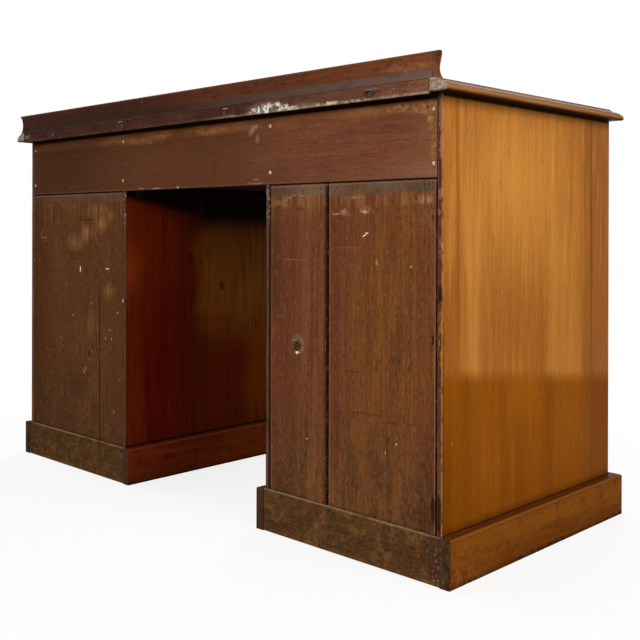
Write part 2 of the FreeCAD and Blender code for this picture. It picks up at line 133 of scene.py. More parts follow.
class Tree:
    """Short calls that add nodes to one tree and join them."""

    def __init__(self, tree):
        self.tree = tree

    def feed(self, socket, value):
        if isinstance(value, bpy.types.NodeSocket):
            self.tree.links.new(value, socket)
        elif value is not None:
            socket.default_value = value

    def add(self, kind, inputs=None, **settings):
        node = self.tree.nodes.new(kind)
        for key, value in settings.items():
            setattr(node, key, value)
        for key, value in (inputs or {}).items():
            self.feed(node.inputs[key], value)
        return node

    def math(self, operation, *values):
        return self.add("ShaderNodeMath", dict(enumerate(values)), operation=operation).outputs[0]

    def vector(self, operation, *values):
        node = self.add("ShaderNodeVectorMath", dict(enumerate(values)), operation=operation)
        return node.outputs["Value" if operation in ("LENGTH", "DOT_PRODUCT") else "Vector"]

    def scaled(self, vector, factor):
        node = self.add("ShaderNodeVectorMath", {0: vector, "Scale": factor}, operation="SCALE")
        return node.outputs["Vector"]

    def parts(self, vector):
        return self.add("ShaderNodeSeparateXYZ", {0: vector}).outputs

    def joined(self, x, y, z):
        return self.add("ShaderNodeCombineXYZ", {0: x, 1: y, 2: z}).outputs[0]

    def noise(self, vector, scale=1.0, detail=2.0, roughness=0.5, out="Fac"):
        inputs = {"Vector": vector, "Scale": scale, "Detail": detail, "Roughness": roughness}
        return self.add("ShaderNodeTexNoise", inputs).outputs[out]

    def shaken(self, vector, noise, amount):
        """The vector moved at random by up to half the amount."""
        shift = self.vector("SUBTRACT", noise, (0.5, 0.5, 0.5))
        return self.vector("ADD", vector, self.scaled(shift, amount))

    def between(self, value, low, high, start=0.0, end=1.0):
        """The value smoothed from start, at low, to end, at high."""
        inputs = {"Value": value, "From Min": low, "From Max": high, "To Min": start, "To Max": end}
        return self.add("ShaderNodeMapRange", inputs, interpolation_type="SMOOTHSTEP").outputs["Result"]

    def mix(self, factor, first, second):
        node = self.add("ShaderNodeMix", data_type="RGBA")
        for index, value in ((0, factor), (6, first), (7, second)):
            self.feed(node.inputs[index], (*value, 1.0) if isinstance(value, tuple) else value)
        return node.outputs[2]

    def group(self, tree, inputs):
        return self.add("ShaderNodeGroup", inputs, node_tree=tree).outputs


def new_group(name, inputs, outputs, kind="ShaderNodeTree"):
    """A node group with its sockets, each named after a word, and its input and output nodes.

    A word is the socket's name, with its value after an equals sign or its kind after a colon. Capitals
    inside a name begin a new word of it.
    """
    group = bpy.data.node_groups.new(name, kind)
    for way, words in (("INPUT", inputs), ("OUTPUT", outputs)):
        for word in words.split():
            label, sort, default = re.fullmatch(r"(\w+)(?::(\w+))?(?:=(.*))?", word).groups()
            socket = group.interface.new_socket(re.sub("(?<=[a-z])(?=[A-Z])", " ", label), in_out=way,
                                                socket_type="NodeSocket" + (sort or "Float"))
            if default:
                socket.default_value = int(default) if sort == "Int" else float(default)
    tree = Tree(group)
    return tree, tree.add("NodeGroupInput").outputs, tree.add("NodeGroupOutput").inputs


# Shader groups. Each gives masks from a place on the piece, in metres.

def grain_group():
    """Straight grain that runs along the vector's Z."""
    tree, given, out = new_group("Wood grain", "Vector:Vector FigureWidth=0.03 LineWidth=0.003 Wander=0.004",
                                 "Figure Lines Pores Fibre")
    slow = tree.vector("MULTIPLY", given["Vector"], (5.0, 5.0, 1.1))
    place = tree.shaken(given["Vector"], tree.noise(slow, out="Color"), given["Wander"])
    for label, width, stretch, detail, low, high in (
            ("Figure", given["Figure Width"], 16.0, 3.0, 0.34, 0.66),
            ("Lines", given["Line Width"], 60.0, 3.0, 0.40, 0.60),
            ("Pores", tree.math("MULTIPLY", given["Line Width"], 0.40), 14.0, 1.0, 0.58, 0.70),
            ("Fibre", tree.math("MULTIPLY", given["Line Width"], 0.42), 30.0, 2.0, 0.40, 0.62)):
        run = tree.math("DIVIDE", 1.0, width)
        along = tree.math("DIVIDE", run, stretch)
        drawn = tree.vector("MULTIPLY", place, tree.joined(run, run, along))
        tree.feed(out[label], tree.between(tree.noise(drawn, detail=detail), low, high))
    return tree.tree


def placed_along(tree, given):
    """The distance along Direction, shaken by Ragged."""
    place = tree.vector("DOT_PRODUCT", given["Vector"], given["Direction"])
    shift = tree.math("SUBTRACT", tree.noise(given["Vector"], given["Scale"], 3.0, 0.6), 0.5)
    return tree.math("MULTIPLY_ADD", shift, given["Ragged"], place)


def wear_mask(tree, given):
    """How near a place is to an arris of the box from Low to High, with a broken edge."""
    low = tree.vector("SUBTRACT", given["Vector"], given["Low"])
    high = tree.vector("SUBTRACT", given["High"], given["Vector"])
    near = tree.parts(tree.vector("ABSOLUTE", tree.vector("MINIMUM", low, high)))
    least = tree.math("MINIMUM", near[0], near[1])
    most = tree.math("MAXIMUM", near[0], near[1])
    middle = tree.math("MAXIMUM", least, tree.math("MINIMUM", most, near[2]))
    broken = tree.between(tree.noise(given["Vector"], given["Scale"], 3.0, 0.6), 0.3, 0.7, 0.25, 1.7)
    reach = tree.math("MULTIPLY", given["Width"], broken)
    return tree.between(tree.math("DIVIDE", middle, reach), 0.45, 1.0, 1.0, 0.0)


def band_mask(tree, given):
    """A change from 0, at From, to 1, at To, along a direction, with a ragged front."""
    return tree.between(placed_along(tree, given), given["From"], given["To"])


def stripe_mask(tree, given):
    """1 within Half of Centre along a direction, fading out over Soft."""
    away = tree.math("ABSOLUTE", tree.math("SUBTRACT", placed_along(tree, given), given["Centre"]))
    return tree.between(tree.math("SUBTRACT", away, given["Half"]), 0.0, given["Soft"], 1.0, 0.0)


def ring_mask(tree, given):
    """A thin ring about Centre."""
    away = tree.vector("LENGTH", tree.vector("SUBTRACT", given["Vector"], given["Centre"]))
    off = tree.math("ABSOLUTE", tree.math("SUBTRACT", away, given["Radius"]))
    return tree.between(off, 0.0, given["Width"], 1.0, 0.0)


def spot_mask(tree, given):
    """One mark: 1 inside an ellipsoid at Centre, leaned over by Lean, added to Before."""
    x, y, z = tree.parts(tree.vector("SUBTRACT", given["Vector"], given["Centre"]))
    x = tree.math("MULTIPLY_ADD", z, given["Lean"], x)
    share = tree.vector("LENGTH", tree.vector("DIVIDE", tree.joined(x, y, z), given["Half Size"]))
    mask = tree.math("MULTIPLY", tree.between(share, given["Core"], 1.1, 1.0, 0.0), given["Strength"])
    return tree.math("MAXIMUM", given["Before"], mask)


def fleck_mask(tree, given):
    """Small flecks in some of the cells of a scatter."""
    run = tree.math("DIVIDE", 1.0, given["Spacing"])
    along = tree.math("DIVIDE", run, given["Stretch"])
    place = tree.vector("MULTIPLY", given["Vector"], tree.joined(run, run, along))
    cells = tree.add("ShaderNodeTexVoronoi", {"Vector": place, "Scale": 1.0, "Randomness": 1.0}).outputs
    chance = tree.parts(cells["Color"])
    picked = tree.math("LESS_THAN", chance[0], given["Share"])
    reach = tree.math("MULTIPLY", given["Radius"], tree.math("ADD", 0.35, chance[1]))
    share = tree.math("DIVIDE", cells["Distance"], reach)
    return tree.math("MULTIPLY", picked, tree.between(share, 0.6, 1.0, 1.0, 0.0))


def scratch_mask(tree, given):
    """Thin stray lines, kept to patches."""
    field = tree.noise(given["Vector"], given["Scale"], 1.0, 0.4)
    off = tree.math("ABSOLUTE", tree.math("SUBTRACT", field, 0.5))
    line = tree.between(off, 0.0, given["Width"], 1.0, 0.0)
    patch = tree.noise(given["Vector"], tree.math("MULTIPLY", given["Scale"], 1.7), 1.0)
    limit = tree.math("SUBTRACT", 0.72, tree.math("MULTIPLY", given["Amount"], 0.3))
    return tree.math("MULTIPLY", line, tree.between(patch, limit, tree.math("ADD", limit, 0.06)))


MASKS = {
    "Edge wear": (wear_mask, "Vector:Vector Low:Vector High:Vector Width=0.004 Scale=160"),
    "Band": (band_mask, "Vector:Vector Direction:Vector From To Ragged=0 Scale=40"),
    "Stripe": (stripe_mask, "Vector:Vector Direction:Vector Centre Half=0.001 Soft=0.001 Ragged=0 Scale=40"),
    "Ring": (ring_mask, "Vector:Vector Centre:Vector Radius=0.05 Width=0.001"),
    "Spot": (spot_mask, "Before=0 Vector:Vector Centre:Vector HalfSize:Vector Lean=0 Strength=1 Core=0.75"),
    "Flecks": (fleck_mask, "Vector:Vector Spacing=0.02 Stretch=1 Radius=0.12 Share=0.3"),
    "Scratches": (scratch_mask, "Vector:Vector Scale=20 Width=0.006 Amount=0.4"),
}
groups = {}


def shared(label):
    """The shader group of that label, made when it is first needed."""
    if label not in groups:
        if label == "Wood grain":
            groups[label] = grain_group()
        else:
            draw, sockets = MASKS[label]
            tree, given, out = new_group(label, sockets, "Mask")
            tree.feed(out["Mask"], draw(tree, given))
            groups[label] = tree.tree
    return groups[label]


# Finishes

PAINTS = {"pale": "d8c4a4", "white": "f4eee4", "olive": "664c3a", "night": "140a05", "black": "080402"}
AXES = {"x": (1.0, 0.0, 0.0), "y": (0.0, 1.0, 0.0), "z": (0.0, 0.0, 1.0)}
GRAIN_TURNS = {"x": (0.0, math.pi / 2, 0.0), "y": (math.pi / 2, 0.0, 0.0), "z": (0.0, 0.0, 0.0)}
EVEN = (1.0, 1.0, 1.0)

# A recipe has one step on each line:
#   wood LIGHT DARK STREAK AXIS, then the widths of figure and line, wander, seed, the amounts of lines,
#     pores and fibre, and the roughness: the grain, which also gives the masks figure, lines, pores, fibre
#   paint COLOUR ROUGHNESS: a plain ground
#   NAME = MASKS: keeps a mask under a name, or as the height
#   COLOUR AMOUNT: MASKS: lays a colour over the last ones, by the amount. Between the amount and the colon,
#     rough= also changes the roughness, and rise= the height
#   blend NAME COLOUR COLOUR: MASKS: keeps a colour that changes from the first to the second
#   use NAME: the steps of another recipe
#   close: joins all to the surface's shader, with the arguments of Finish.close
# A mask is a kept one, or the name of a method of Finish and then its arguments in their order, such as
# band AXIS START END RAGGED SCALE, stripe AXIS CENTRE HALF SOFT or cloud SCALE LOW HIGH STRETCH. Commas join
# the parts of a vector. Masks are multiplied where a star stands between them. "not" turns one round,
# "weaker" turns a share of one round, and "share" is a number on its own.
# A colour is six hexadecimal figures, or the name of one in DeskColours, in PAINTS, given or blended. A star
# and a factor make it lighter or darker. A given name may also stand for a number, with an offset.
# A step after ?NAME is only for the materials that are given NAME as true.
# The marks of spots are in millimetres: along, up, half width, half height, then strength and lean.

RECIPES = {
    # The bare rear edge of an upright side: brown, chipped, with dark and pale places.
    "worn_edge": """
edge = band y rear-.0016 rear-.0004
plain 1 rough=.75: edge
pale .6: edge * cloud 60 .46 .62 1,1,.25
dark .6: edge * cloud 90 .52 .6 1,1,.3
dark .3: edge * cloud 420 .48 .62
fleck .8: edge * flecks .008 .3 .18 2""",
    # A tall polished side: straight golden grain, amber at the foot, rubbed rear arris.
    # Above the slanted line of its amber foot, the paler, hazier colour is a painted reflection of bright
    # The dark band and black line just under the moulding (6c3a10, black at .7265) are painted shade, with
    # some dirt.
    # The darkening low down by the rear edge (70420f, 542a02, 58300c) is painted shade.
    # The soft pale spots d99440, high up, and b87018, in the foot, are painted pools of light.
    # surroundings; on the right side that line is kept weaker.
    "polished_side": """
wood polish_light polish_mid polish_streak z .012 .0015 .005 seed .13 .4 .26 .36
834815 .3: cloud 15 .47 .68 1,1,.05 2
c78a3e .22: cloud 26 .52 .7 1,1,.05 2
683709 .26: cloud 70 .56 .66 1,1,.045 2
d69a4c .15: cloud 120 .54 .66 1,1,.06 2
d99440 .42: spots at=face_mm depth=.05 across=y core=0 45,600,230,230
70420f .4: band z .52 .42 .04 5 * band y .19 .255 .03 9
8a4c12 .27: band z .5 .38 .05 6
7a450f .4: stripe y .222 .002 .006 .012 7
middle = band z .26 .34 .04 6 * band z .62 .44 .05 6
7c4410 .24: middle * stripe y .085 .022 .04 .02 6
d0923e .26: band z .6 .46 .05 6 * stripe y -.09 .03 .035 .02 6
cc8c42 .24: band z .66 .52 .05 6 * stripe y .176 .008 .022 .01 6
low = band 0,-.1125,1 .299 .267 .006 5
?right low = low * share .45
polish_low .82: low
9a5a06 .42: low * figure
5c2d03 .3: low * lines
6a3602 .3: low * fibre
6c3602 .45: low * cloud 18 .46 .66 1,1,.05 2
b87018 .2: spots at=face_mm depth=.05 across=y core=0 35,265,75,75
542a02 .5: band z .28 .16 .03 8 * band y .2 .254 .02 9
6d3502 .35: band z .17 .09 .04 8
red = band y -.184 -.198 .01 12
724010 .4: stripe y -.176 .008 .016 .012 9
8e562a .5: red
643314 .35: red * lines
713905 .75: red * low
5e3210 .5: stripe y -.188 .001 .004 .008 12
58300c .7: band y .2515 .2545 .002 40 * band z .44 .36 .04 20
3a1c06 .45: band z .09 .0755 .008 40
black .75: band z .077 .0745 .002 60
6c3a10 .28: band z .712 .731 .01 20
black .85: band z .7265 .729 .001 60
5f3210 .35: scratches 26 .004 .45 1,1,.35
d09c54 .25: scratches 44 .004 .45 1,1,.5
6a3a10 .3: cloud 300 .56 .7 1,1,.12 2
4a2408 .6: flecks .03 .3 .05 2
use worn_edge
7c5844 .7: edge * stripe x heart .0006 .0008 .0015 90
96683c .8: edge * stripe x rim .0008 .0008 .001 90
worn = wear low high .0018 90
a06c34 .6 rough=.6: worn
2a1409 .7: worn * cloud 150 .52 .6 1,1,.4
?left b07858 .6: spots at=258.5 -597.5,655,3.5,22 -596,583,4,9,.7 -597,508,4,5,.6 -594,556,4,5,.6 \
-597,700,4,30,.8
?left 1a140c .8: spots at=258.5 -595.5,434,4,16 -594,300,3,8,.6 -594,110,5,30,.8
?left a8641c .75: spots at=258 depth=.003 -597,372,4,60 -597,520,4,50,.5 * cloud 150 .5 .58 1,1,.5
close specular=.008 bump=.1""",
    # A lining of the kneehole: orange at its rear edge, then red, then brown towards the front.
    # It darkens away from its rear edge (4a1605), as painted shade further into the kneehole.
    # The black across its top, sloping down inwards from under the apron, and further in towards the front
    # under the mask level, is painted shadow.
    "kneehole_side": """
wood knee_red*1.35 knee_red knee_red*.45 z .014 .0022 .006 seed .3 .3 .25 .5
6a260a .4: cloud 18 .5 .7 1,1,.07 3
6a260c .4: band z .28 .5 .05 6
300a03 .42: cloud 30 .5 .66 1,1,.08 3
4a1605 .55: band y .175 .08 .04 9
high = band z .24 .37 .08 5
upper = band y .09 .025 .06 9 * high
501a02 .6: band y .08 .01 .06 9 * not high
knee_brown .9: upper
7a4a1e .6: upper * band y -.01 -.11 .05 6
68300a .75: band y -.045 -.11 .04 8 * band z .42 .27 .1 6
3c1304 .35: band z .14 .08 .04 9
351803 .4: upper * lines
2c0e02 .35: cloud 90 .52 .66 1,1,.08 3
70340f .16: cloud 110 .54 .72 1,1,.05 3
strip = band y .195 .24 .03 9
632006 .6: strip
843210 .6: strip * spots at=face_mm depth=.05 across=y core=0 250,440,60,80
380e04 .45: strip * lines
160500 .85: spots at=lining depth=.01 across=y -.3,400,5.5,10 89,465.8,7,13,.7 40.8,473.9,4,12,.6 \
-105,305.7,3,16,.6 70,330,3,8,.4 * cloud 120 .3 .5
8a4a20 .6: spots at=lining depth=.01 across=y -.3,400,1.8,3.4
black .96: band 0,-.2,1 .533 .551 .012 8 * band y .04 .09
level = band z .512 .562 .014 8 * band y .1 .04
black .96: level * band y -.2549 -.254
black .85: band z .08 .0745 .003 60
use worn_edge
7e5844 .5: edge * stripe x heart .0007 .0012 .002 90
1c0c06 .8: edge * stripe x rim .0008 .0006 .001 90
a8887a .5: edge * band z .53 .56 .02 30 * cloud 140 .48 .6
close specular=.008 bump=.1""",
    # The upright boards behind one pedestal.
    "back_boards": """
wood 794626 dark 482414 z .006 .0016 .003 2.7 .28 .4 .28 .75
streaky = cloud 80 .42 .6 1,1,.05 3
thin = cloud 170 .5 .62 1,1,.035 2
zone = cloud 6 .44 .62 1,1,.35 2
zone_light .4: zone
zone_dark .3: not zone
?left back_light .45: thin * zone
?right back_light .3: thin * zone
olive = band z .5845 .5885 .006 30
olive .85 rough=.85: olive
7e6854 .3: olive * cloud 60 .46 .66 .4,1,1
8a5a34 .3: band z .535 .58 .03 30 * not olive * streaky
foot = band z .26 .12 .1 9
4a3421 .65: foot * cloud 34 .36 .62 1,1,.6
2e1e12 .4: foot * cloud 220 .52 .62 1,1,.5
night .4: band z .08 .0745 .004 60
3e2618 .3: cloud 24 .52 .74 1,1,.5 4
?left 8a5628 .25: stripe x -.45 .05 .06 .04 6 * streaky
?left 8c5a34 .4: stripe x -.328 .018 .03 .02 9 * streaky
?left 4a2a16 .5: stripe x -.226 .01 .026 .02 9 * band z .36 .4 .03
?left 5a4232 .7: olive * band x -.51 -.56
?left 80624e .6: olive * stripe x -.333 .02 .05
?left 9c6c3e .35: stripe z .577 .004 .012 .014 60 * streaky
?left b4885c .75: spots at=257.5 depth=.02 core=.2 -403,557,14,8,.8 -447,560,16,8,.8 -425,581,30,3,.9 \
-566,575,22,9,.8 -250,575,20,6,.4 -570,545,12,20,.3 * cloud 150 .36 .6 1,1,.3
?left b8925c .7: ring -292,257.5,539 49 .9 * spots at=257.5 depth=.02 -283,586,38,13
?left 7a5634 .3: foot * cloud 170 .5 .62 1,1,.3
?left 38160c .75: spots at=257.5 -458.6,237,26,.9 -500,229,16,.9,.7 -430,236,16,1.2,.9,-1.2 \
-420,301,20,.9,.7 -482,207,20,.9,.6 -540,232,12,1.6,.5,-1.6
?left 8e6852 .5: stripe x -.5858 .0006 .001 .0012 50
?left 8e6852 .4: stripe x -.37 .0006 .001 .0012 50
?left 8e6852 .35: stripe x -.229 .0006 .001 .0012 50
?left 3c1a0e .6: stripe x -.359 .0015 .003 .0015 40
?left 1a0501 .95: stripe x -.364 .0029 .0007 .0008 40
?left 1a0501 .93: stripe x -.5893 .002 .0007 .0008 40
?left 1a0501 .8: stripe x -.2256 .0016 .0007 .0008 40
?right 4e2e16 .4: cloud 9 .42 .66 1,1,.5 3
?right 42250f .62: band x .47 .585 .03 9
?right a87644 .8: spots at=257.5 depth=.02 core=0 410,500,46,24,.8 360,520,46,28,.9 315,540,44,26 \
275,556,24,16,.5 330,568,60,20,.6 275,397,30,24,.6 345,318,34,40,.4 * cloud 110 .3 .62 1,1,.12
?right 8c4a2c .4: band z .5 .57 .04 20 * thin
?right c8a06c .6: spots at=257.5 depth=.02 core=.4 262,345,42,75 270,160,44,90,.6 560,230,30,200,.5 * \
flecks .009 .34 .13
?right 563c2b .7: olive * band x .42 .58
?right 4a160c .8: spots at=257.5 361,548,36,1.6 352,540,26,1.4,.8
?right 1a0501 .6: stripe x .2245 .001 .0007 .0008 40
?right 1a0501 .9: stripe x .591 .001 .0007 .0008 40
?right black .9: stripe x .3132 .0013 .0007 .001 40 * band z .4 .37 .02
4c3a2c .2: lines * olive
3c2214 .45: cloud 240 .54 .68 1,1,.3 2
9c7044 .35: cloud 260 .58 .7 1,1,.3 2
301a10 .5: scratches 16 .004 .7 1,1,2.6
9a7450 .3: scratches 27 .003 .6 .7,1,2
b48a5c .5: flecks .012 .12 .09 1.6
night .6: flecks .02 .14 .06 1.4
?left 8c7858 .6: spots at=257.5 -295,334,16,18 * cloud 260 .35 .6
?right 8c7858 .6: spots at=257.5 352.2,255.7,11,16,.4 * cloud 260 .35 .6
?left 16100b .95 rise=-2: spots at=257.5 -292.4,331,10.5,9 * cloud 420 .32 .55
?right 16100b .95 rise=-2: spots at=257.5 352.2,257,7,10,.9 * cloud 420 .32 .55
?left night .85: spots at=257.5 -582,364.4,3,8,.9 -537.4,317.8,3,7,.4,.3 -470.9,315.6,3,10,.35,.2 \
-583,112,5,22,.8 -582,548,4,5,.5 -560,95,30,10,.3
?right night .85: spots at=257.5 240,560,1.6,40,.5
?left a4825c .6: spots at=257.5 -287,477.4,34,1,.5 -405,500,34,.9,.3 -262,571,10,1.2,.4
?right a4825c .6: spots at=257.5 547,508,16,1.6,.8,-.9 556,520,1.6,12,.7,.5 540,500,8,1.4,.7,.8
?left dcc09a .8: spots at=257.5 -470.3,477.1,2.4,5,.35 -540.8,472.8,2.4,2.4,.35 -317.3,176.1,2,2,.8,.5 \
-512,197.4,1.8,1.8,.9 -489.8,181.3,1.6,2.4,.9
?right dcc09a .8: spots at=257.5 345,367.6,1.6,4,.6 275.5,314,2,2,.8 421.4,336.5,1.6,2.6,.5 \
246,352.2,2,2.6,.8 268,295.5,1.8,2,.7 290.5,295.8,1.8,2,.8 375.8,216.1,1.4,5,.7,-.4 \
367.8,221.4,1.4,5,.7,-.4 259.1,141.7,2,3,.6 471.5,283.2,1.6,1.6,.7 237.7,211.8,1.6,1.6,.6
?left white .9: spots at=257.5 -446.9,521.2,2.2,4.2,1,1.5 -383.2,555.4,9,1.2,.25 -444.6,558,8,1.3,.35 \
-292.5,319.6,4.6,2.6
?right white .9: spots at=257.5 389.8,439.3,1.9,7.5 283.6,443.7,7,1.7,.8,-.8 226.5,378.6,3,4,.6
8c6c58 .45: stripe z .603 .0005 .0009 .001 60
black .85: band z .6045 .6058 .0008 60
close specular=.02 bump=.4""",
    # The single board across the back: horizontal grain, its top rubbed golden.
    # Its darkening towards the far end (5c3520, 4a2a19) is partly browner wood, partly a painted fall-off of
    # light.
    # The near-black line just under the rear strip (4c2a14, 140300) is painted shadow of the strip, with
    # some dirt.
    "apron": """
wood 885238 7a4831 512e1e x .008 .0014 .003 7.9 .26 .3 .3 .75
704a2a .3: cloud 8 .46 .66 .5,1,1 3
4c2c1c .3: cloud 14 .5 .72 .5,1,1 3
5c3520 .8: band x -.34 -.06 .06 4
4a2a19 .78: band x .14 .46 .06 4
86583a .45: band x -.5 -.585 .03 9
upright = cloud 110 .46 .62 1,1,.16 3
blotch = cloud 22 .3 .6 .35,1,1 3
thinner = weaker .6 band x .28 .34
top = band z .7 .715 .016 20 * thinner
9c6234 .6: top * blotch
8a562e .25: top * upright
a87040 .8: spots at=258.5 depth=.01 core=0 175,708,46,11 95,714,40,7,.6 -60,713,60,9,.8 * cloud 60 .34 .62
near = spots at=258.5 depth=.01 core=.2 -566,713,34,11 -577,694,9,18,.7 -520,716,40,8,.8 -450,718,60,7,.4 \
-583,650,8,30,.4
c89258 .85: near * cloud 120 .38 .62
462a18 .5: near * cloud 260 .54 .62
504038 .5: spots at=258.5 depth=.01 core=.3 -540,668,2,56 -552,676,2,48,.7 -523,684,2,40,.5 * cloud 120 \
.35 .6 1,1,.3
8a6a52 .35: stripe z .62 .004 .012 .012 20 * band x -.45 -.58
402418 .3: cloud 260 .54 .68 .3,1,1 2
8a6040 .2: cloud 330 .58 .72 .12,1,1 2
9a6c4c .25: scratches 24 .003 .5 .35,1,2
a8784c .25: scratches 15 .003 .6 1,1,.6
a07a54 .3: flecks .015 .08 .08 1
night .5: flecks .022 .12 .06 1
b89880 .7: spots at=258.5 depth=.01 core=.2 -177,706,10,12,.9,.5 -190,712,10,6,.7 -192,690,7,12,.4 \
131,706,14,9,.4 * cloud 90 .36 .6 1,1,.5
pale .8: spots at=258.5 -188,618,9,1,.25 108,609.8,14,1.3,.8 39.5,609.9,4,1.6,.8 -186,611,20,1.2,.3 \
160,611,12,1,.4
a47c50 .35: wear -.591,.2,.55 .591,rear,.8 .004 90 * cloud 200 .46 .6
black .8: stripe x -.591 .0012 .0006 .0006 40
black .8: stripe x .591 .0012 .0006 .0006 40
7c5444 .35: stripe z .61 .0006 .001 .001 50
2a120a .8: band z .6088 .6076 .0006 60
black .95: band z .6075 .6072
4c2a14 .6: band z .7215 .725 .003 30
140300 .95: band z .724 .7262 .0012 70
close specular=.02 bump=.35""",
    # The upstand: red-brown, with a grey band along the foot of its back.
    # It and its grey band darken towards the far end, partly browner wood, partly a painted fall-off of
    # light.
    "gallery": """
wood 804a2a gallery_tone 3a1a0e x .007 .0017 .004 4.1 .35 .35 .3 .55
84361c .35: cloud 16 .5 .7 .4,1,1
4c2618 .82: band x -.46 -.1 .06 4
37190f .8: band x -.1 .2 .06 4
6c4024 .25: cloud 11 .48 .7 .6,1,1
281008 .4: cloud 200 .54 .68 .3,1,1 2
7c4c32 .2: cloud 240 .58 .72 .2,1,1 2
rear = band y strip-.002 strip-.0005
9a6644 .75: spots at=282.5 depth=.01 core=.1 -560,772,70,9 * cloud 60 .32 .6 .5,1,1
foot = rear * band z .769 .76 .008 9
blend grey 6a564b 5a4a43: band x -.58 -.36
blend grey grey 33251e: band x -.4 .1
grey .85 rough=.75: foot
30261f .3: foot * cloud 60 .45 .65 .3,1,1
846858 .6: rear * band x -.54 -.57 * band z .756 .7535 .001 60
30201a .3: rear * band z .7545 .7525 .001 60
8a5226 .3: rear * band z .787 .79 .002 40
7c5230 .3: wear low high .002 120
end = rear * band x low_x+.0145 low_x+.0115 .002 60
5e412c .8 rough=.7: end
4c3424 .6: end * cloud 160 .46 .6
pale .3: flecks .024 .2 .05 1
close specular=.02 bump=.15""",
    # The strip screwed to the rear of the top, with splashes of old paint.
    # Its darkening towards the far end (5e3c2a, 44261c, 39201a) is partly browner wood, partly a painted
    # fall-off of light.
    # The black along its underside is painted shade.
    "strip": """
wood 8c5c42 7e4f38 45231a x .007 .0016 .003 9.3 .35 .45 .35 .7
b48c74 .3: cloud 330 .54 .66 .7,1,1 2
5e3c2a .8: band x -.55 -.47 .04 9
44261c .9: band x -.24 -.16 .03 6
39201a .35: band x .1 .45 .03 6
26100b .4: cloud 50 .46 .68 .5,1,1
5c4034 .4: cloud 36 .52 .7 .4,1,1
8c6c5c .4: scratches 34 .007 .7 .6,1,1
rubbed = band z .735 .7315 .003 70
ae8c74 .85: rubbed * band x -.06 -.18 .04 30 * cloud 50 .3 .56
6c4838 .4: rubbed * cloud 44 .42 .58
94887a .6: spots at=282.5 depth=.01 core=.3 -240,740,56,10,.9 -330,735,60,5,.5 * cloud 90 .36 .6
dccfae .85: spots at=282.5 depth=.01 core=.4 -300,732.5,40,4 -385,733,36,3.6,.9 -450,732,30,2.6,.6 * cloud \
150 .46 .56 .6,1,1
strokes = cloud 130 .45 .55 1,1,.8 6
white .95: spots at=282.5 depth=.006 core=.5 -204,736,8,6,.7,.5 -220,737,10,8,.9,.8 -241,738,14,10,1,.6 \
-264,739,14,8,.9,.9 -286,736,12,6,.7 -248,732,40,3 * strokes
120a06 .85: spots at=282.5 depth=.01 core=.3 -476,741,16,7,.9 -128,740,9,7,.8 194,742,10,7,.7 509,739,8,7,.6
b49c88 .6: spots at=282.5 depth=.01 -132,746.5,9,1.2,1,-.6 199,748,9,1.2,.9,-.6 -480,746.5,16,1.3,.5
8c7c60 .7: spots at=282.5 depth=.02 core=.4 575,741,20,8 * cloud 80 .44 .6
pale .5: flecks .01 .15 .1 1
black .95: band y strip-.0015 strip-.003 * band z .734 .731
black .9: band z .7297 .7292
2a150e .9: band z .7505 .7515 * band y strip strip-.0004
black .7: stripe x -.5935 .001 .0006 .0008 60
black .7: stripe x .5935 .001 .0006 .0008 60
close specular=.02 bump=.4""",
    # The moulded edge of the top, its end grain bare at the back.
    # The dark and black bands along its underside, and at the foot of its end, are painted shade.
    "moulding": """
wood 916236 7c4f28 4a280f y .008 .0018 .004 5.5 .35 .4 .3 .45
5c3416 .4: cloud 9 .45 .7 1,.2,1
6c4a34 .6: band z .744 .7475 .001 50
a4733f .5: stripe z .7385 .001 .0016 .0012 50
3a1603 .85: band z .7352 .734 .0006 50
black .8: band z .7328 .7322 .0004 50
night .6: flecks .016 .2 .1 1
end = band y strip-.0012 strip-.0003
8c7262 1 rough=.75: end
c4b09c .6: end * cloud 110 .42 .62
4c3020 .6: end * cloud 180 .56 .66
3c2214 .8: end * band z .735 .733 .001 50
close specular=.012 bump=.15""",
    # The moulded edge along the front, more rubbed than the ends.
    # The black band along its underside is painted shade.
    "front_moulding": """
wood 7c4a20 603414 3a1c0a x .012 .0022 .004 6.5 .4 .4 .25 .4
4a240e .45: cloud 9 .45 .7 .2,1,1
8c5e30 .45: stripe z .7395 .0008 .0016 .0012 50
black .7: band z .7335 .7322 .0004 50
close specular=.14 coat=.04 coat_roughness=.25 bump=.15""",
    # The writing surface: figured boards, a little faded, with rings and scratches of use.
    "top": """
wood 8a5222 6c3c16 44200b x .03 .0026 .03 12.4 .35 .5 .25 .38
522a0e .45: cloud 5 .42 .68 .35,1,1
9a6630 .3: cloud 7 .55 .75 .6,1,1
broken = cloud 30 .45 .6
3a1c0a .4 rough=.6: ring -330,-90,752 41 1.8 * broken
broken = cloud 30 .45 .6
3a1c0a .4 rough=.6: ring -262,-128,752 41 1.8 * broken
broken = cloud 30 .45 .6
3a1c0a .4 rough=.6: ring 372,40,752 36 1.8 * broken
381a0a .45 rough=.6: scratches 9 .0016 .6
a87a44 .3: scratches 14 .0016 .5
night .55: flecks .04 .25 .04 1
4c260e .4: wear low high .005 60
close specular=.12 coat=.04 coat_roughness=.25 bump=.1""",
    # Polished plinth boards: knocked at the bottom, rubbed along the rounded top arris.
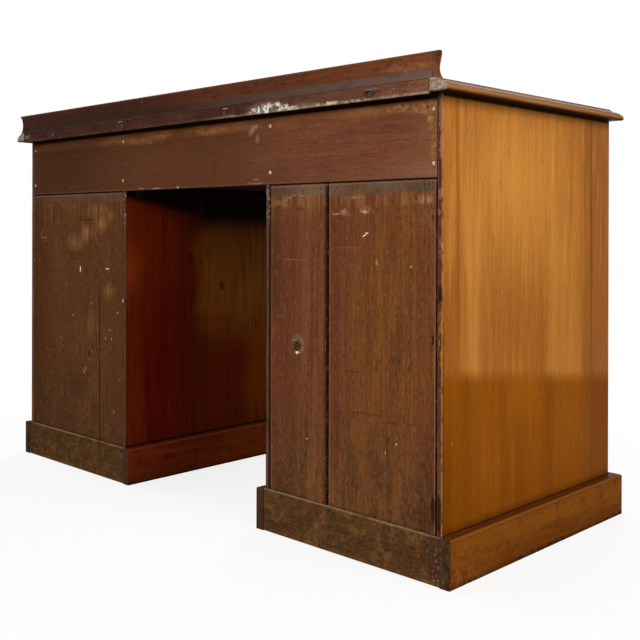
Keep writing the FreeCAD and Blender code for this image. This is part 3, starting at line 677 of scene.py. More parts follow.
    "plinth": """
wood plinth_tone*1.35 plinth_tone 462004 along .01 .0018 .006 seed .28 .45 .3 .45
875011 .4: stripe z .052 .008 .014 .02 9
864a0c .3: cloud 9 .45 .7 .4,.4,1
4c2606 .45: cloud 34 .5 .7
59340c .35: cloud 70 .5 .66 .6,.6,1
5a2a04 .45: band z .034 .012 .012 20
7e4e1e .5 rough=.6: stripe z .0722 .0004 .001 .001 60
3c1d0a .6: band z .073 .0736
341a08 .6: band z .01 .002 .008 60
worn = band y .12 .24 .08 10 * band z .05 .012 .03 20
925a24 .5: worn * cloud 60 .4 .62
a87440 .3: scratches 18 .004 .6
2c1406 .45: scratches 30 .006 .6
night .65: flecks .014 .2 .1 1
b87c34 .6: flecks .024 .14 .08 1
150a03 .85: band z .01 .003 .007 90 * cloud 60 .51 .58
281a10 .75: stripe y .2637 .0016 .002 .004 60
rear = band y .2628 .2636
4c3624 1 rough=.75: rear
281a10 .7: rear * cloud 90 .42 .58 1,1,.6
94785c .6: rear * cloud 240 .6 .66
close specular=.008 bump=.2""",
    # The plinth boards inside the kneehole, deep red under their old polish.
    "knee_plinth": """
wood 722a0a 5a1f06 340d03 y .012 .0022 .005 3.3 .35 .35 .25 .5
702f0a .6: band y .1 -.12 .05 8
2c0a03 .45: cloud 40 .5 .68
744324 .45: stripe z .072 .0004 .0008 .001 60
100502 .85: band z .008 .001 .006 60
a0643c .25: scratches 30 .006 .5
rear = band y .2628 .2636
4c3622 1 rough=.75: rear
2c1c12 .45: rear * cloud 190 .46 .6
pale .6: rear * flecks .01 .4 .2 1
close specular=.012 bump=.15""",
    # The plain boards behind the plinth, dirty and much knocked.
    "rear_plinth": """
wood 6c4723 5e3d22 332014 x .01 .0018 .005 8.8 .3 .45 .35 .78
45301b .5: cloud 34 .42 .62 .8,1,1
7e5a32 .5: cloud 70 .48 .66 .8,1,1
643524 .4: cloud 15 .48 .68
4a2f16 .12: band x .1 .2
26180d .5: cloud 200 .52 .66 .8,1,1
92703c .4: cloud 220 .58 .68
9c8468 .6: stripe z high_z-.0003 .0002 .0006 .001 90 * cloud 40 .3 .5
corner = band x -.56 -.594 .03 24
30221a .5: corner
b09470 .7: corner * cloud 220 .58 .64 1,1,.7
corner = band x .56 .594 .03 24
30221a .5: corner
b09470 .7: corner * cloud 220 .58 .64 1,1,.7
3c2817 .25: band x .53 .58 .03 24
8a6c44 .3: band z .012 .003 .008 60 * cloud 80 .4 .6
9c7c50 .3: scratches 30 .006 .6 .6,1,1
c8ac84 .42: flecks .01 .2 .1 1
night .65: flecks .018 .25 .1 1.4
94764c .8: spots at=263.7 core=.2 -345,37,8,9,.7 -230,45,2,2 * cloud 150 .36 .6
close specular=.02 bump=.5""",
    # A drawer front: polished, with a livelier figure than the sides.
    "drawer": """
wood front_light front_dark 42200a x .02 .0024 .035 seed .35 .45 .25 .34
8c501c .4: cloud 8 .44 .68 .35,1,1
341608 .4: scratches 22 .003 .5
night .5: flecks .03 .2 .05
9a6c3c .7 rough=.7: band y -.25 -.248
close specular=.14 coat=.05 coat_roughness=.2 bump=.1""",
    # A turned knob, darkened by hands.
    "knob": """
wood 7c4218 56280e 2c1206 y .012 .0018 .01 seed .35 .45 .3 .3
3a1c0a .4: cloud 60 .5 .7
close specular=.16 coat=.06 coat_roughness=.15 bump=.1""",
    # The rails between the drawers: faced with mahogany, bare behind.
    # Behind their faces, the rails across the kneehole are near-black with painted shade.
    "rail": """
wood 7c4a22 5c3012 3a1a08 x .014 .0024 .006 1.9 .4 .4 .25 .42
7e5a34 .6 rough=.7: band y -.252 -.248 .002 30
100602 .93: stripe x 0 .214 .001 * band y -.255 -.254
close specular=.1 bump=.12""",
    # Bare aged pine or oak, gone brown in the air.
    # Where the carcass parts show in the kneehole, and under the centre drawer there, the near-black is
    # painted shade.
    "pine": """
?crossed across = not stripe x middle half .0002
wood pine_tone*1.18 pine_tone 7a4e26 along .014 .003 .012 seed .35 .2 .25 .68
805a34 .45: cloud 9 .46 .72
6a4426 .3: cloud 40 .55 .75
4a2a14 .65: flecks .05 .25 .07 1.4
5a3a1e .4: scratches 16 .004 .5
?bottoms 5c3012 .9: band y -.2535 -.2545
?carcass 0a0401 .97: stripe x 0 .214 .001
?centre 0a0401 .97: stripe x 0 .214 .001 * band z .6186 .6176
close specular=shine bump=.25""",
    # Old brass, gone dull.
    "brass": """
paint brass_tone .3
5a4420 .7 rough=.55: cloud 160 .45 .7
b8994e .5 rough=.25: cloud 420 .6 .7
height = cloud 500 .4 .6
close specular=.5 metallic=1 bump=.1 depth=.0002""",
    # Dark steel with rust.
    "steel": """
paint steel_tone .55
2a1c14 .8 rough=.8: cloud 300 .45 .65
6a4a30 .6 rough=.8: cloud 700 .58 .68
height = cloud 900 .4 .6
close specular=.3 metallic=.6 bump=.3 depth=.0002""",
    # Old stopping.
    "putty": """
paint putty_tone .8
a8845c .75: cloud 420 .48 .64
7c5834 .5: cloud 200 .54 .66
height = cloud 900 .4 .6
close specular=.1 bump=.4 depth=.0003""",
}


class Finish:
    """A material that a recipe builds up in layers of colour, roughness and height."""

    def __init__(self, name, given):
        self.material = bpy.data.materials.new(name)
        self.material.use_nodes = True
        self.material.node_tree.nodes.clear()
        self.tree = Tree(self.material.node_tree)
        self.place = self.tree.add("ShaderNodeTexCoord").outputs["Object"]
        self.given = {"rear": REAR_Y, "strip": STRIP_Y, **given}
        self.masks = {}
        self.blends = {}
        self.colour = None
        self.rough = None
        self.torn = None

    def follow(self, recipe):
        """Carries out a recipe, step by step."""
        for line in recipe.strip().splitlines():
            if line.startswith("?"):
                condition, line = line[1:].split(" ", 1)
                if not self.given.get(condition):
                    continue
            head, _, masks = line.partition(": ")
            name, *rest = head.split()
            if " = " in line:
                name, masks = line.split(" = ")
                self.masks[name] = self.product(masks)
            elif name == "use":
                self.follow(RECIPES[rest[0]])
            elif name == "wood":
                self.wood(*[self.paint(word) for word in rest[:3]], *[self.value(word) for word in rest[3:]])
            elif name == "paint":
                self.colour = self.paint(rest[0])
                self.rough = self.tree.math("ADD", float(rest[1]), 0.0)
            elif name == "blend":
                self.blends[rest[0]] = self.tree.mix(self.product(masks), *map(self.paint, rest[1:]))
            elif name == "close":
                self.close(**self.options(rest))
            else:
                self.lay(self.product(masks), self.paint(name), float(rest[0]), **self.options(rest[1:]))

    def value(self, word):
        """A word of a recipe as a number, as several, as what a given name stands for, or as it is."""
        if "," in word:
            return tuple(self.value(part) for part in word.split(","))
        if word in self.given:
            return self.given[word]
        shifted = re.fullmatch(r"([a-z_]+)([+-][\d.]+)", word)
        if shifted:
            return self.given[shifted[1]] + float(shifted[2])
        try:
            return float(word)
        except ValueError:
            return word

    def options(self, words):
        return {key: self.value(word) for key, word in (pair.split("=") for pair in words)}

    def paint(self, word):
        """The colour that a word stands for, made lighter or darker by a factor after a star."""
        name, _, factor = word.partition("*")
        name = self.given.get(name, name)
        if name in self.blends:
            return self.blends[name]
        tint = bpy.context.scene.desk_colours
        base = tuple(getattr(tint, name)) if hasattr(tint, name) else tone(PAINTS.get(name, name))
        return tuple(level * float(factor) for level in base) if factor else base

    def product(self, text):
        """The product of the masks between the stars."""
        first, *others = [self.mask(part) for part in text.split(" * ")]
        for other in others:
            first = self.tree.math("MULTIPLY", first, other)
        return first

    def mask(self, text):
        """One mask: a kept one, or what the maker that its first word names makes of the rest."""
        kind, *words = text.split()
        if kind == "not":
            return self.tree.math("SUBTRACT", 1.0, self.mask(" ".join(words)))
        if kind == "weaker":
            return self.tree.math("MULTIPLY_ADD", self.mask(" ".join(words[1:])), -float(words[0]), 1.0)
        if kind == "share":
            return float(words[0])
        if kind in self.masks:
            return self.masks[kind]
        makers = {"band": self.band, "stripe": self.stripe, "ring": self.ring, "cloud": self.cloud,
                  "wear": self.wear, "flecks": self.flecks, "scratches": self.scratches, "spots": self.spots}
        plain = [self.value(word) for word in words if "=" not in word]
        return makers[kind](*plain, **self.options(word for word in words if "=" in word))

    def ragged(self):
        """The place, shaken by a fine noise, so that marks get irregular outlines."""
        if self.torn is None:
            shake = self.tree.noise(self.place, 230.0, 2.0, 0.6, out="Color")
            self.torn = self.tree.shaken(self.place, shake, 0.007)
        return self.torn

    def turned(self, along, seed):
        """The place turned so that its Z runs along an axis."""
        return self.tree.add("ShaderNodeMapping", {
            "Vector": self.place, "Rotation": GRAIN_TURNS[along],
            "Location": (seed, 0.7 * seed, 1.3 * seed)}).outputs[0]

    def wood(self, light, dark, streak, along, figure, line, wander, seed, lines, pores, fibre, rough):
        """Lays grain along an axis, or along Y where the mask named across is 1."""
        vector = self.turned(along, seed)
        if "across" in self.masks:
            choice = self.tree.add("ShaderNodeMix", data_type="VECTOR")
            for index, value in ((0, self.masks["across"]), (4, vector), (5, self.turned("y", seed))):
                self.tree.feed(choice.inputs[index], value)
            vector = choice.outputs[1]
        inputs = {"Vector": vector, "Figure Width": figure, "Line Width": line, "Wander": wander}
        made = self.tree.group(shared("Wood grain"), inputs)
        self.masks.update({name.lower(): made[name] for name in ("Figure", "Lines", "Pores", "Fibre")})
        self.colour = self.tree.mix(made["Figure"], dark, light)
        self.lay(made["Fibre"], streak, fibre)
        self.lay(made["Lines"], streak, lines)
        self.lay(made["Pores"], tuple(level * 0.35 for level in streak), pores)
        self.rough = self.tree.math("MULTIPLY_ADD", made["Lines"], 0.08, rough)
        self.masks["height"] = self.tree.math("ADD", self.tree.math("MULTIPLY", made["Lines"], -0.35),
                                              self.tree.math("MULTIPLY", made["Pores"], -0.65))

    def lay(self, mask, colour, amount, rough=None, rise=None):
        """Lays a colour over the last one where the mask is, by the amount."""
        if amount != 1.0:
            mask = self.tree.math("MULTIPLY", mask, amount)
        self.colour = self.tree.mix(mask, self.colour, colour)
        if rough is not None:
            change = self.tree.math("SUBTRACT", rough, self.rough)
            self.rough = self.tree.math("MULTIPLY_ADD", mask, change, self.rough)
        if rise is not None:
            self.masks["height"] = self.tree.math("MULTIPLY_ADD", mask, rise, self.masks["height"])

    def grouped(self, label, **inputs):
        """The mask that a shared group makes; an underscore stands for a space."""
        inputs = {key.replace("_", " "): value for key, value in inputs.items()}
        return self.tree.group(shared(label), inputs)[0]

    def band(self, axis, start, end, ragged=0.0, scale=40.0):
        return self.grouped("Band", Vector=self.place, Direction=AXES.get(axis, axis), From=start, To=end,
                            Ragged=ragged, Scale=scale)

    def stripe(self, axis, centre, half, soft, ragged=0.0, scale=60.0):
        return self.grouped("Stripe", Vector=self.place, Direction=AXES[axis], Centre=centre, Half=half,
                            Soft=soft, Ragged=ragged, Scale=scale)

    def ring(self, centre, radius, width):
        return self.grouped("Ring", Vector=self.ragged(), Centre=tuple(part * MM for part in centre),
                            Radius=radius * MM, Width=width * MM)

    def stretched(self, stretch):
        if stretch == EVEN:
            return self.place
        return self.tree.add("ShaderNodeMapping", {"Vector": self.place, "Scale": stretch}).outputs[0]

    def cloud(self, scale, low, high, stretch=EVEN, detail=4.0):
        return self.tree.between(self.tree.noise(self.stretched(stretch), scale, detail, 0.6), low, high)

    def wear(self, low, high, width, scale):
        return self.grouped("Edge wear", Vector=self.place, Low=tuple(low), High=tuple(high), Width=width,
                            Scale=scale)

    def flecks(self, spacing, share, radius=0.12, stretch=1.0):
        return self.grouped("Flecks", Vector=self.ragged(), Spacing=spacing, Share=share, Radius=radius,
                            Stretch=stretch)

    def scratches(self, scale, width, amount, stretch=EVEN):
        return self.grouped("Scratches", Vector=self.stretched(stretch), Scale=scale, Width=width,
                            Amount=amount)

    def spots(self, *rows, at, depth=0.006, across="x", core=0.75):
        """Marks on a face at a distance along Y, or along X if they run across Y."""
        mask = None
        for row in rows:
            along, up, half_width, half_height, strength, lean = row + (1.0, 0.0)[len(row) - 4:]
            place = (along * MM, at * MM, up * MM)
            half = (half_width * MM, depth, half_height * MM)
            if across == "y":
                place = (place[1], place[0], place[2])
                half = (half[1], half[0], half[2])
            mask = self.grouped("Spot", Before=mask, Vector=self.ragged(), Centre=place, Half_Size=half,
                                Lean=lean, Strength=strength, Core=core)
        return mask

    def close(self, bump, specular, coat=0.0, coat_roughness=0.2, metallic=0.0, depth=0.0004):
        """Joins the layers to the surface's shader."""
        shader = self.tree.add("ShaderNodeBsdfPrincipled", {
            "Specular IOR Level": specular, "Coat Weight": coat, "Coat Roughness": coat_roughness,
            "Metallic": metallic})
        self.tree.feed(shader.inputs["Base Color"], self.colour)
        self.tree.feed(shader.inputs["Roughness"], self.rough)
        raised = self.tree.add("ShaderNodeBump", {"Height": self.masks["height"], "Strength": bump,
                                                  "Distance": depth})
        self.tree.feed(shader.inputs["Normal"], raised.outputs[0])
        self.tree.add("ShaderNodeOutputMaterial", {"Surface": shader.outputs[0]})


def finished(name, recipe, box=None, **given):
    """The material that a recipe makes; box names a node whose box it needs, and given are open values."""
    if box:
        low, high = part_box(box)
        given.update(low=low, high=high, low_x=low.x, high_z=high.z)
    finish = Finish(name, given)
    finish.follow(RECIPES[recipe])
    return finish.material


# Meshes

TOP_ARRIS = 0.0005
MERGE = 1e-6
FLAT_ANGLE = math.radians(0.5)
SHORTEST_ARRIS = 0.03
WEAR_CHANGES = 60.0
WEAR_DEPTH = 0.4
PLATE_DEPTH = 0.0005
SLOT_WIDTH = 0.0011
SLOT_DEPTH = 0.0018
SLOT_FORWARD = 0.0002
FULL_TURN = 2 * math.pi


def linked(name, data):
    """A new object in the scene."""
    piece = bpy.data.objects.new(name, data)
    bpy.context.scene.collection.objects.link(piece)
    return piece


def piece_from(mesh, name, slot, body, *replaced, material=None):
    """A mesh as a piece of the desk, riding on a body and, if named, standing for CAD nodes."""
    mesh.name = name
    piece = linked(name, mesh)
    if material is not None:
        dress(mesh, material)
    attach(piece, body)
    if replaced:
        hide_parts(*replaced)


def dress(mesh, material):
    mesh.materials.clear()
    mesh.materials.append(material)


def dress_node(node, material):
    """Gives a CAD node that stays as it is a material."""
    dress(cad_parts[node].data, material)


def baked(piece):
    """The piece's evaluated mesh, after which the piece itself is deleted."""
    bpy.context.view_layer.update()
    evaluated = piece.evaluated_get(bpy.context.evaluated_depsgraph_get())
    mesh = bpy.data.meshes.new_from_object(evaluated)
    bpy.data.objects.remove(piece)
    return mesh


def mesh_of(work, name, angle=None, faced=False):
    """The mesh of a bmesh: faced turns its faces outwards, and an angle gives it smooth shading."""
    if faced:
        bmesh.ops.recalc_face_normals(work, faces=work.faces)
    mesh = bpy.data.meshes.new(name)
    work.to_mesh(mesh)
    work.free()
    if angle is not None:
        shade(mesh, angle)
    return mesh


def shade(mesh, angle):
    """Smooth shading that keeps edges over the angle sharp."""
    mesh.polygons.foreach_set("use_smooth", [True] * len(mesh.polygons))
    work = bmesh.new()
    work.from_mesh(mesh)
    limit = math.radians(angle)
    for edge in work.edges:
        edge.smooth = len(edge.link_faces) == 2 and edge.calc_face_angle() < limit
    work.to_mesh(mesh)
    work.free()


def weighted(mesh):
    """The mesh with normals weighted by face area, so that flats stay flat beside a rounded arris."""
    piece = linked("weighting", mesh)
    modifier = piece.modifiers.new("Weighted", "WEIGHTED_NORMAL")
    modifier.keep_sharp = True
    modifier.weight = 100
    return baked(piece)


def whole(node):
    """A copy of a CAD node's mesh with its doubles merged."""
    work = bmesh.new()
    work.from_mesh(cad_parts[node].data)
    bmesh.ops.remove_doubles(work, verts=work.verts, dist=MERGE)
    return work


def merged(node):
    """A copy of a CAD node's mesh with its doubles merged and its flat faces joined up."""
    work = whole(node)
    bmesh.ops.dissolve_limit(work, angle_limit=FLAT_ANGLE, use_dissolve_boundaries=False,
                             verts=work.verts, edges=work.edges, delimit=set())
    bmesh.ops.recalc_face_normals(work, faces=work.faces)
    return work


def softened(node, width, wander=0.5, corner=50.0):
    """A copy of a CAD node whose long outer arrises are rubbed round, a little unevenly."""
    work = merged(node)
    arrises = [edge for edge in work.edges
               if len(edge.link_faces) == 2 and edge.calc_length() >= SHORTEST_ARRIS
               and edge.calc_face_angle_signed() >= math.radians(corner)]
    made = bmesh.ops.bevel(work, geom=arrises, offset=width, offset_type="OFFSET", segments=3, profile=0.5,
                           affect="EDGES", clamp_overlap=True)
    fresh = set(made["faces"])
    bmesh.ops.recalc_face_normals(work, faces=work.faces)
    for vert in work.verts:
        if all(face in fresh for face in vert.link_faces):
            give = noise.noise(vert.co * WEAR_CHANGES) * 0.5 + 0.5
            vert.co -= vert.normal * width * wander * WEAR_DEPTH * give
    return weighted(mesh_of(work, node, 40.0))


def skinned(name, rings, angle, capped=False):
    """A mesh with faces between rings of points, where a ring of one point is a tip."""
    work = bmesh.new()
    rings = [[work.verts.new(point) for point in ring] for ring in rings]
    count = max(len(ring) for ring in rings)
    for first, second in zip(rings, rings[1:]):
        for index in range(count):
            after = (index + 1) % count
            corners = [ring[at % len(ring)] for ring, at in
                       ((first, index), (first, after), (second, after), (second, index))]
            unique = list(dict.fromkeys(corners))
            if len(unique) > 2:
                work.faces.new(unique)
    if capped:
        work.faces.new(rings[0])
        work.faces.new(rings[-1])
    return mesh_of(work, name, angle, faced=True)


def lathe(profile, count, angle=None):
    """A turned shape about Y from (radius, y) pairs; a radius of nothing is a tip."""
    turns = [FULL_TURN * index / count for index in range(count)]
    rings = [[(radius * math.cos(turn), y, radius * math.sin(turn)) for turn in (turns if radius else [0.0])]
             for radius, y in profile]
    return skinned("turned", rings, angle)


# Geometry Nodes

def dressed(tree, given, out, geometry):
    """Ends a tree: real geometry with its material."""
    real = tree.add("GeometryNodeRealizeInstances", {"Geometry": geometry})
    done = tree.add("GeometryNodeSetMaterial", {"Geometry": real.outputs[0], "Material": given["Material"]})
    tree.feed(out["Geometry"], done.outputs[0])
    return tree.tree


def scatter_tree():
    """A shape set on every point of a mesh, turned and sized at random about the shape's Y axis."""
    tree, given, out = new_group(
        "Set on points", "Geometry:Geometry Shape:Object Turn=0 SizeChange=0 Seed:Int=1 Material:Material",
        "Geometry:Geometry", "GeometryNodeTree")
    shape = tree.add("GeometryNodeObjectInfo", {"Object": given["Shape"], "As Instance": True},
                     transform_space="ORIGINAL")
    turn = tree.add("FunctionNodeRandomValue", data_type="FLOAT_VECTOR")
    tree.feed(turn.inputs[0], tree.joined(0.0, tree.math("MULTIPLY", given["Turn"], -1.0), 0.0))
    tree.feed(turn.inputs[1], tree.joined(0.0, given["Turn"], 0.0))
    tree.feed(turn.inputs["Seed"], given["Seed"])
    size = tree.add("FunctionNodeRandomValue", data_type="FLOAT")
    tree.feed(size.inputs[2], tree.math("SUBTRACT", 1.0, given["Size Change"]))
    tree.feed(size.inputs[3], tree.math("ADD", 1.0, given["Size Change"]))
    tree.feed(size.inputs["Seed"], given["Seed"])
    placed = tree.add("GeometryNodeInstanceOnPoints", {
        "Points": given["Geometry"], "Instance": shape.outputs["Geometry"], "Rotation": turn.outputs[0],
        "Scale": size.outputs[1]})
    return dressed(tree, given, out, placed.outputs[0])


def bead_tree():
    """A round bead run about a rectangle that stands in the XZ plane."""
    tree, given, out = new_group(
        "Bead round a front",
        "Geometry:Geometry Width=0.3 Height=0.1 Centre:Vector Bead=0.003 Sides:Int=12 Material:Material",
        "Geometry:Geometry", "GeometryNodeTree")
    line = tree.add("GeometryNodeCurvePrimitiveQuadrilateral", {
        "Width": tree.math("SUBTRACT", given["Width"], given["Bead"]),
        "Height": tree.math("SUBTRACT", given["Height"], given["Bead"])})
    stood = tree.add("GeometryNodeTransform", {
        "Geometry": line.outputs[0], "Translation": given["Centre"], "Rotation": (math.pi / 2, 0.0, 0.0)})
    ring = tree.add("GeometryNodeCurvePrimitiveCircle", {
        "Resolution": given["Sides"], "Radius": tree.math("MULTIPLY", given["Bead"], 0.5)})
    swept = tree.add("GeometryNodeCurveToMesh", {
        "Curve": stood.outputs[0], "Profile Curve": ring.outputs[0]})
    smooth = tree.add("GeometryNodeSetShadeSmooth", {"Geometry": swept.outputs[0]})
    return dressed(tree, given, out, smooth.outputs[0])


def grown(tree, mesh, **values):
    """The plain mesh that a Geometry Nodes tree makes from a mesh, with the named inputs set."""
    seed_piece = linked("growing", mesh)
    modifier = seed_piece.modifiers.new("Nodes", "NODES")
    modifier.node_group = tree
    keys = {item.name: item.identifier for item in tree.interface.items_tree if item.in_out == "INPUT"}
    for label, value in values.items():
        modifier[keys[label.replace("_", " ")]] = value
    return baked(seed_piece)


def on_points(tree, points, shape, **values):
    """Copies of a shape's mesh at points, as one plain mesh."""
    cloud = bpy.data.meshes.new("points")
    cloud.from_pydata([tuple(point) for point in points], [], [])
    model = linked("model", shape)
    mesh = grown(tree, cloud, Shape=model, **values)
    bpy.data.objects.remove(model)
    return mesh


# Operators

BOX_SIDE = 0.010
PIN_INSET = 0.004
SCREW_BEHIND = 0.01
STOPPED_ABOVE = 0.61

class DESK_OT_insides(bpy.types.Operator):
    """Gives the runners, rails, bottoms, stops and drawer boxes their bare wood, with painted shade in the
    kneehole
    """
    bl_idname = "desk.insides"
    bl_label = "Bare wood inside"

    def execute(self, context):
        for node, along in (("pedestal_bottoms", "x"), ("back_rails", "x"), ("drawer_runners", "y"),
                            ("drawer_stops", "x")):
            # carcass=True paints the parts that show in the kneehole near-black, as painted shade.
            dress_node(node, finished(node + "_pine", "pine", along=along, seed=0.4, shine=0.01,
                                      carcass=True, bottoms=node == "pedestal_bottoms"))
        for number, name in enumerate(DRAWERS):
            low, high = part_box(name + "_box")
            # centre=True paints the underside of the centre drawer near-black, as painted shade.
            dress_node(name + "_box", finished(
                name + "_pine", "pine", along="x", seed=1.7 * number + 0.3, shine=0.02, crossed=True,
                middle=(low.x + high.x) / 2, half=(high.x - low.x) / 2 - BOX_SIDE,
                centre=name == "frieze_centre"))
        rails = finished("rail_wood", "rail")
        for node in ("top_rail", "drawer_rails"):
            dress_node(node, rails)
        return {"FINISHED"}


class DESK_OT_sides(bpy.types.Operator):
    """Makes the four upright sides, with rubbed arrises"""
    bl_idname = "desk.sides"
    bl_label = "Sides"

    def execute(self, context):
        width = context.scene.desk_sizes.arris
        for node, face_x, seed in (("outer_side_left", -SIDE_X, 0.0), ("outer_side_right", SIDE_X, 3.1),
                                   ("inner_side_left", -KNEE_X, 6.2), ("inner_side_right", KNEE_X, 8.4)):
            sign = math.copysign(1.0, face_x)
            given = {"seed": seed, "face_mm": face_x / MM, "left": sign < 0, "right": sign > 0}
            if node.startswith("outer"):
                given.update(plain="5c3020", pale="7e5038", dark="2c150c", fleck="a87440",
                             heart=face_x - sign * 0.0085, rim=face_x - sign * 0.0006,
                             low=(min(face_x, face_x - sign), -1.0, 0.0),
                             high=(max(face_x, face_x - sign), REAR_Y, 1.0))
            else:
                rim = face_x + sign * 0.009
                given.update(plain="523627", pale="5e4030", dark="281810", fleck="805c40",
                             heart=rim - sign * 0.0045, rim=rim, lining=sign * 215.0)
            recipe = "polished_side" if node.startswith("outer") else "kneehole_side"
            piece_from(softened(node, width), node + "_board", "mahogany", "carcass", node,
                       material=finished(node + "_wood", recipe, **given))
        return {"FINISHED"}


class DESK_OT_back(bpy.types.Operator):
    """Makes the apron and the upright boards of the back"""
    bl_idname = "desk.back"
    bl_label = "Back"

    def execute(self, context):
        boards = {"left": {"left": True, "dark": "back_dark", "zone_light": "784622", "zone_dark": "6a3628"},
                  "right": {"right": True, "dark": "663f22", "zone_light": "68431e", "zone_dark": "5c3820"}}
        width = context.scene.desk_sizes.back_arris
        for side, given in boards.items():
            node = "back_boards_" + side
            piece_from(softened(node, width), node + "_worn", "back_wood", "carcass", node,
                       material=finished(node + "_wood", "back_boards", **given))
        piece_from(softened("rear_apron", width), "rear_apron_board", "back_wood", "carcass", "rear_apron",
                   material=finished("rear_apron_wood", "apron"))
        return {"FINISHED"}


class DESK_OT_plinth(bpy.types.Operator):
    """Makes the knocked boards of the plinth"""
    bl_idname = "desk.plinth"
    bl_label = "Plinth"

    def execute(self, context):
        width = context.scene.desk_sizes.plinth_arris
        outer = finished("plinth_outer_wood", "plinth", along="y", seed=2.2)
        inner = finished("knee_plinth_wood", "knee_plinth")
        front = finished("plinth_front_wood", "plinth", along="x", seed=4.2)
        rear = finished("rear_plinth_wood", "rear_plinth", "plinth_rear_boards")
        for side, share, slot, material in (
                ("outer", 0.5, "mahogany", outer), ("inner", 0.5, "mahogany", inner),
                ("front", 0.5, "mahogany", front), ("rear", 1.0, "back_wood", rear)):
            node = f"plinth_{side}_boards"
            piece_from(softened(node, share * width, wander=0.8), node + "_worn", slot, "carcass", node,
                       material=material)
        return {"FINISHED"}


class DESK_OT_top(bpy.types.Operator):
    """Makes the top board, its moulding, the rear strip and the gallery"""
    bl_idname = "desk.top"
    bl_label = "Top"

    def execute(self, context):
        arris = context.scene.desk_sizes.arris
        side = finished("top_moulding_wood", "moulding")
        for node, material, width in (
                ("top_board", finished("top_board_wood", "top", "top_board"), TOP_ARRIS),
                ("top_moulding_left", side, TOP_ARRIS), ("top_moulding_right", side, TOP_ARRIS),
                ("top_moulding_front", finished("front_moulding_wood", "front_moulding"), TOP_ARRIS),
                ("rear_strip", finished("rear_strip_wood", "strip"), arris),
                ("gallery", finished("gallery_wood", "gallery", "gallery"), arris)):
            piece_from(softened(node, width, corner=55.0), node + "_worn", "mahogany", "carcass", node,
                       material=material)
        return {"FINISHED"}


class DESK_OT_fronts(bpy.types.Operator):
    """Makes the drawer fronts and the round beads along their edges"""
    bl_idname = "desk.fronts"
    bl_label = "Drawer fronts"

    def execute(self, context):
        sizes = context.scene.desk_sizes
        tree = bead_tree()
        for number, name in enumerate(DRAWERS):
            node = name + "_front"
            low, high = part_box(node)
            material = finished(name + "_wood", "drawer", seed=2.3 * number + 0.9)
            board = weighted(mesh_of(merged(node), node, 50.0))
            piece_from(board, node + "_board", "mahogany", name + "_drawer", node, material=material)
            centre = ((low.x + high.x) / 2, low.y + 0.5 * sizes.bead, (low.z + high.z) / 2)
            bead = grown(tree, bpy.data.meshes.new("path"), Width=high.x - low.x, Height=high.z - low.z,
                         Centre=centre, Bead=sizes.bead, Sides=sizes.bead_sides, Material=material)
            piece_from(bead, name + "_bead", "mahogany", name + "_drawer")
        return {"FINISHED"}


# Shares of the radius and of the reach, from the foot of the knob to its crown
KNOB_PROFILE = ((0.0, 0.0), (0.70, 0.0), (0.71, 0.05), (0.66, 0.10), (0.54, 0.14), (0.47, 0.20),
                (0.455, 0.28), (0.49, 0.38), (0.60, 0.47), (0.78, 0.55), (0.93, 0.63), (0.99, 0.70),
                (1.0, 0.76), (0.975, 0.83), (0.90, 0.89), (0.78, 0.93), (0.70, 0.945), (0.66, 0.935),
                (0.60, 0.95), (0.42, 0.985), (0.20, 0.998), (0.0, 1.0))
PIN_PROFILE = ((1.0, 0.0), (0.92, -0.45), (0.6, -0.8), (0.0, -0.95))


class DESK_OT_knobs(bpy.types.Operator):
    """Makes the turned wooden knobs"""
    bl_idname = "desk.knobs"
    bl_label = "Knobs"

    def execute(self, context):
        tree = scatter_tree()
        for number, name in enumerate(DRAWERS):
            low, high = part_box(name + "_knobs")
            radius = (high.z - low.z) / 2
            reach = high.y - low.y
            shape = lathe([(share * radius, -along * reach) for share, along in KNOB_PROFILE],
                          context.scene.desk_sizes.knob_sides, 60.0)
            middle = (low.z + high.z) / 2
            places = [(x, high.y, middle) for x in (low.x + radius, high.x - radius)]
            mesh = on_points(tree, places, shape, Turn=math.pi, Seed=number + 1,
                             Material=finished(name + "_knob_wood", "knob", seed=5.1 * number + 2.0))
            piece_from(mesh, name + "_turned_knobs", "mahogany", name + "_drawer", name + "_knobs")
        return {"FINISHED"}


class DESK_OT_locks(bpy.types.Operator):
    """Gives the locks and keyhole plates their brass, and pins the plates on"""
    bl_idname = "desk.locks"
    bl_label = "Locks"

    def execute(self, context):
        radius = context.scene.desk_sizes.pin
        brass = finished("old_brass", "brass")
        tree = scatter_tree()
        for number, name in enumerate(DRAWERS):
            dress_node(name + "_lock", brass)
            low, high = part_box(name + "_lock")
            dome = lathe([(share * radius, along * radius) for share, along in PIN_PROFILE], 12, 70.0)
            middle = (low.x + high.x) / 2
            foot, crown = plate_heights(name)
            places = [(middle, low.y, foot + PIN_INSET), (middle, low.y, crown - PIN_INSET)]
            mesh = on_points(tree, places, dome, Turn=math.pi, Seed=number + 3, Material=brass)
            piece_from(mesh, name + "_pins", "brass", name + "_drawer")
        return {"FINISHED"}


def plate_heights(name):
    """Lowest and highest point of a drawer's keyhole plate."""
    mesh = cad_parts[name + "_lock"].data
    front = min(vert.co.y for vert in mesh.vertices)
    heights = [vert.co.z for vert in mesh.vertices if vert.co.y < front + PLATE_DEPTH]
    return min(heights), max(heights)


